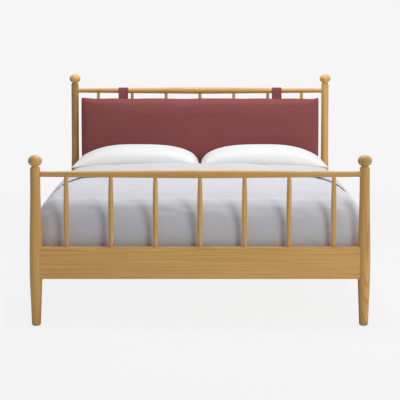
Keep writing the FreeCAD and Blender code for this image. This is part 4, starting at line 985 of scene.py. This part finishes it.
# %% Make the mattress
def make_mattress():
    """Two gridded faces, the upper one quilted, with the border's rings between them."""
    low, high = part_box("mattress")
    middle = (low + high) / 2
    half = (high - low) / 2
    across, along = MATTRESS_FACES
    shape = bmesh.new()
    grids = []
    for level, direction in ((low.z, 1), (high.z, -1)):
        rows = []
        for i in range(across + 1):
            u = 2 * i / across - 1
            row = []
            for j in range(along + 1):
                v = 2 * j / along - 1
                x, y = rounded(middle, half, u, v, BORDER_PROFILE[0][1])
                edge = min(half.x - abs(u) * half.x, half.y - abs(v) * half.y)
                dip = 0.0 if direction > 0 else quilt(x, y) * smooth_step(edge, 0.0, 0.05)
                row.append(shape.verts.new((x, y, level + direction * dip)))
            rows.append(row)
        grids.append(rows)
    for number, rows in enumerate(grids):
        for i in range(across):
            for j in range(along):
                corners = [rows[i][j], rows[i + 1][j], rows[i + 1][j + 1], rows[i][j + 1]]
                shape.faces.new(corners if number else corners[::-1])
    rim = ([(i, 0) for i in range(across)] + [(across, j) for j in range(along)]
           + [(i, along) for i in range(across, 0, -1)] + [(0, j) for j in range(along, 0, -1)])
    rings = [[grids[0][i][j] for i, j in rim]]
    for share, inset in BORDER_PROFILE[1:-1]:
        ring = []
        for i, j in rim:
            x, y = rounded(middle, half, 2 * i / across - 1, 2 * j / along - 1, inset)
            ring.append(shape.verts.new((x, y, low.z + share * (high.z - low.z))))
        rings.append(ring)
    rings.append([grids[1][i][j] for i, j in rim])
    skin(shape, rings, shut=False)
    mattress = link_shape("quilted_mattress", shape)
    dress(mattress, ticking)
    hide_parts("mattress")
    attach(mattress, "mattress")
    return mattress


mattress = make_mattress()
print(mattress.name, len(mattress.data.vertices), "points")

# %% [markdown]
# ## The camera
# The camera stands in front of the foot end at about chest height, far away with a long lens, which
# keeps the posts nearly upright. It looks slightly down, and the lens shift slides the picture on
# the sensor so that the bed sits where it should.

# %% Camera
CAMERA_PLACE = Vector((0.0, -7.463, 1.40))
CAMERA_PITCH = math.radians(4.3)
CAMERA_LENS = 123.5
CAMERA_SHIFT = -0.17

camera = bpy.data.objects.new("camera", bpy.data.cameras.new("camera"))
camera.data.lens = CAMERA_LENS
camera.data.sensor_width = 36.0
camera.data.shift_y = CAMERA_SHIFT
camera.location = CAMERA_PLACE
camera.rotation_euler = Euler((math.pi / 2 - CAMERA_PITCH, 0.0, 0.0))
camera.data.clip_end = 1000.0
bpy.context.scene.collection.objects.link(camera)
bpy.context.scene.camera = camera

# %% [markdown]
# ## The lights
# Three soft lamps. The key stands in front on the right, above head height, and throws the spindles'
# soft shadows on the duvet. A smaller one further round to the right darkens the left sides of the
# round posts and lets the cushion fall off from right to left. One overhead is for the tops of the
# bedding. They are faintly warm, and what fills the shadows is faintly cool.

# %% Lights
LAMP_COLOUR = (1.0, 0.975, 0.945)


def softbox(name, place, aim, size, power):
    """A rectangular lamp that looks from its place at its aim."""
    lamp = bpy.data.lights.new(name, "AREA")
    lamp.shape = "RECTANGLE"
    lamp.size, lamp.size_y = size
    lamp.energy = power
    lamp.color = LAMP_COLOUR
    holder = bpy.data.objects.new(name, lamp)
    holder.location = place
    holder.rotation_euler = (Vector(aim) - Vector(place)).to_track_quat("-Z", "Y").to_euler()
    bpy.context.scene.collection.objects.link(holder)
    print(name, power, "W")


softbox("key_light", (3.4, -5.6, 2.9), (0.0, -0.4, 0.5), (1.9, 1.9), 106.0)
softbox("side_light", (2.9, -0.9, 1.9), (0.2, 0.6, 0.7), (1.2, 1.2), 20.0)
softbox("top_light", (0.1, 0.4, 3.8), (0.0, 0.1, 0.5), (2.8, 2.8), 116.0)

# %% [markdown]
# ## The backdrop
# The backdrop looks almost white to the camera, and in mirror-like or clear things, but gives far
# less light than that. A light path node tells the world which kind of ray is asking.

# %% Backdrop
BACKGROUND = linear(246, 246, 246)
FILL_COLOUR = linear(228, 236, 250)
FILL_STRENGTH = 0.235

world = bpy.data.worlds.new("studio")
bpy.context.scene.world = world
world.use_nodes = True
backdrop = world.node_tree.nodes["Background"]
path = add_node(world, "ShaderNodeLightPath").outputs
seen_directly = calculate(world, "MAXIMUM", path["Is Camera Ray"], path["Is Glossy Ray"])
seen = calculate(world, "MAXIMUM", seen_directly, path["Is Transmission Ray"])
strength = add_node(world, "ShaderNodeMapRange",
                    {"Value": seen, "To Min": FILL_STRENGTH, "To Max": 1.0}).outputs[0]
connect(world, blend_colours(world, seen, FILL_COLOUR, BACKGROUND), backdrop, "Color")
connect(world, strength, backdrop, "Strength")
print("the backdrop lights the shadows at strength", FILL_STRENGTH)

# %% [markdown]
# ## The floor
# The floor is a very large sheet of matt paper. It catches the bed's shadow close by, and further away
# it fades into the backdrop, as a curved paper sweep does, so that no horizon shows.

# %% Floor
FLOOR_HALF = 400.0
FADE_FROM, FADE_TO = 1.5, 6.0
NEAR_FADE = 0.93

floor_mesh = bpy.data.meshes.new("floor")
floor_mesh.from_pydata([(-FLOOR_HALF, -FLOOR_HALF, 0), (FLOOR_HALF, -FLOOR_HALF, 0),
                        (FLOOR_HALF, FLOOR_HALF, 0), (-FLOOR_HALF, FLOOR_HALF, 0)], [], [(0, 1, 2, 3)])
floor = link("floor", floor_mesh)
paper, surface = new_material("pale_floor")
surface.inputs["Base Color"].default_value = linear(245, 245, 245)
surface.inputs["Roughness"].default_value = 1.0
surface.inputs["Specular IOR Level"].default_value = 0.0
glow = add_node(paper, "ShaderNodeEmission", {"Color": BACKGROUND, "Strength": 1.0}).outputs[0]
floor_path = add_node(paper, "ShaderNodeLightPath").outputs["Is Camera Ray"]
spot = add_node(paper, "ShaderNodeNewGeometry").outputs["Position"]
distance = add_node(paper, "ShaderNodeVectorMath", {0: spot}, operation="LENGTH").outputs["Value"]
fade = add_node(paper, "ShaderNodeMapRange",
                {"Value": distance, "From Min": FADE_FROM, "From Max": FADE_TO,
                 "To Min": NEAR_FADE, "To Max": 1.0}, interpolation_type="SMOOTHSTEP").outputs[0]
share = calculate(paper, "MULTIPLY", floor_path, fade)
both = add_node(paper, "ShaderNodeMixShader", {0: share, 1: surface.outputs[0], 2: glow}).outputs[0]
connect(paper, both, paper.node_tree.nodes["Material Output"], "Surface")
dress(floor, paper)
print("the floor is", 2 * FLOOR_HALF, "m square")

bpy.context.scene.view_settings.view_transform = "Standard"
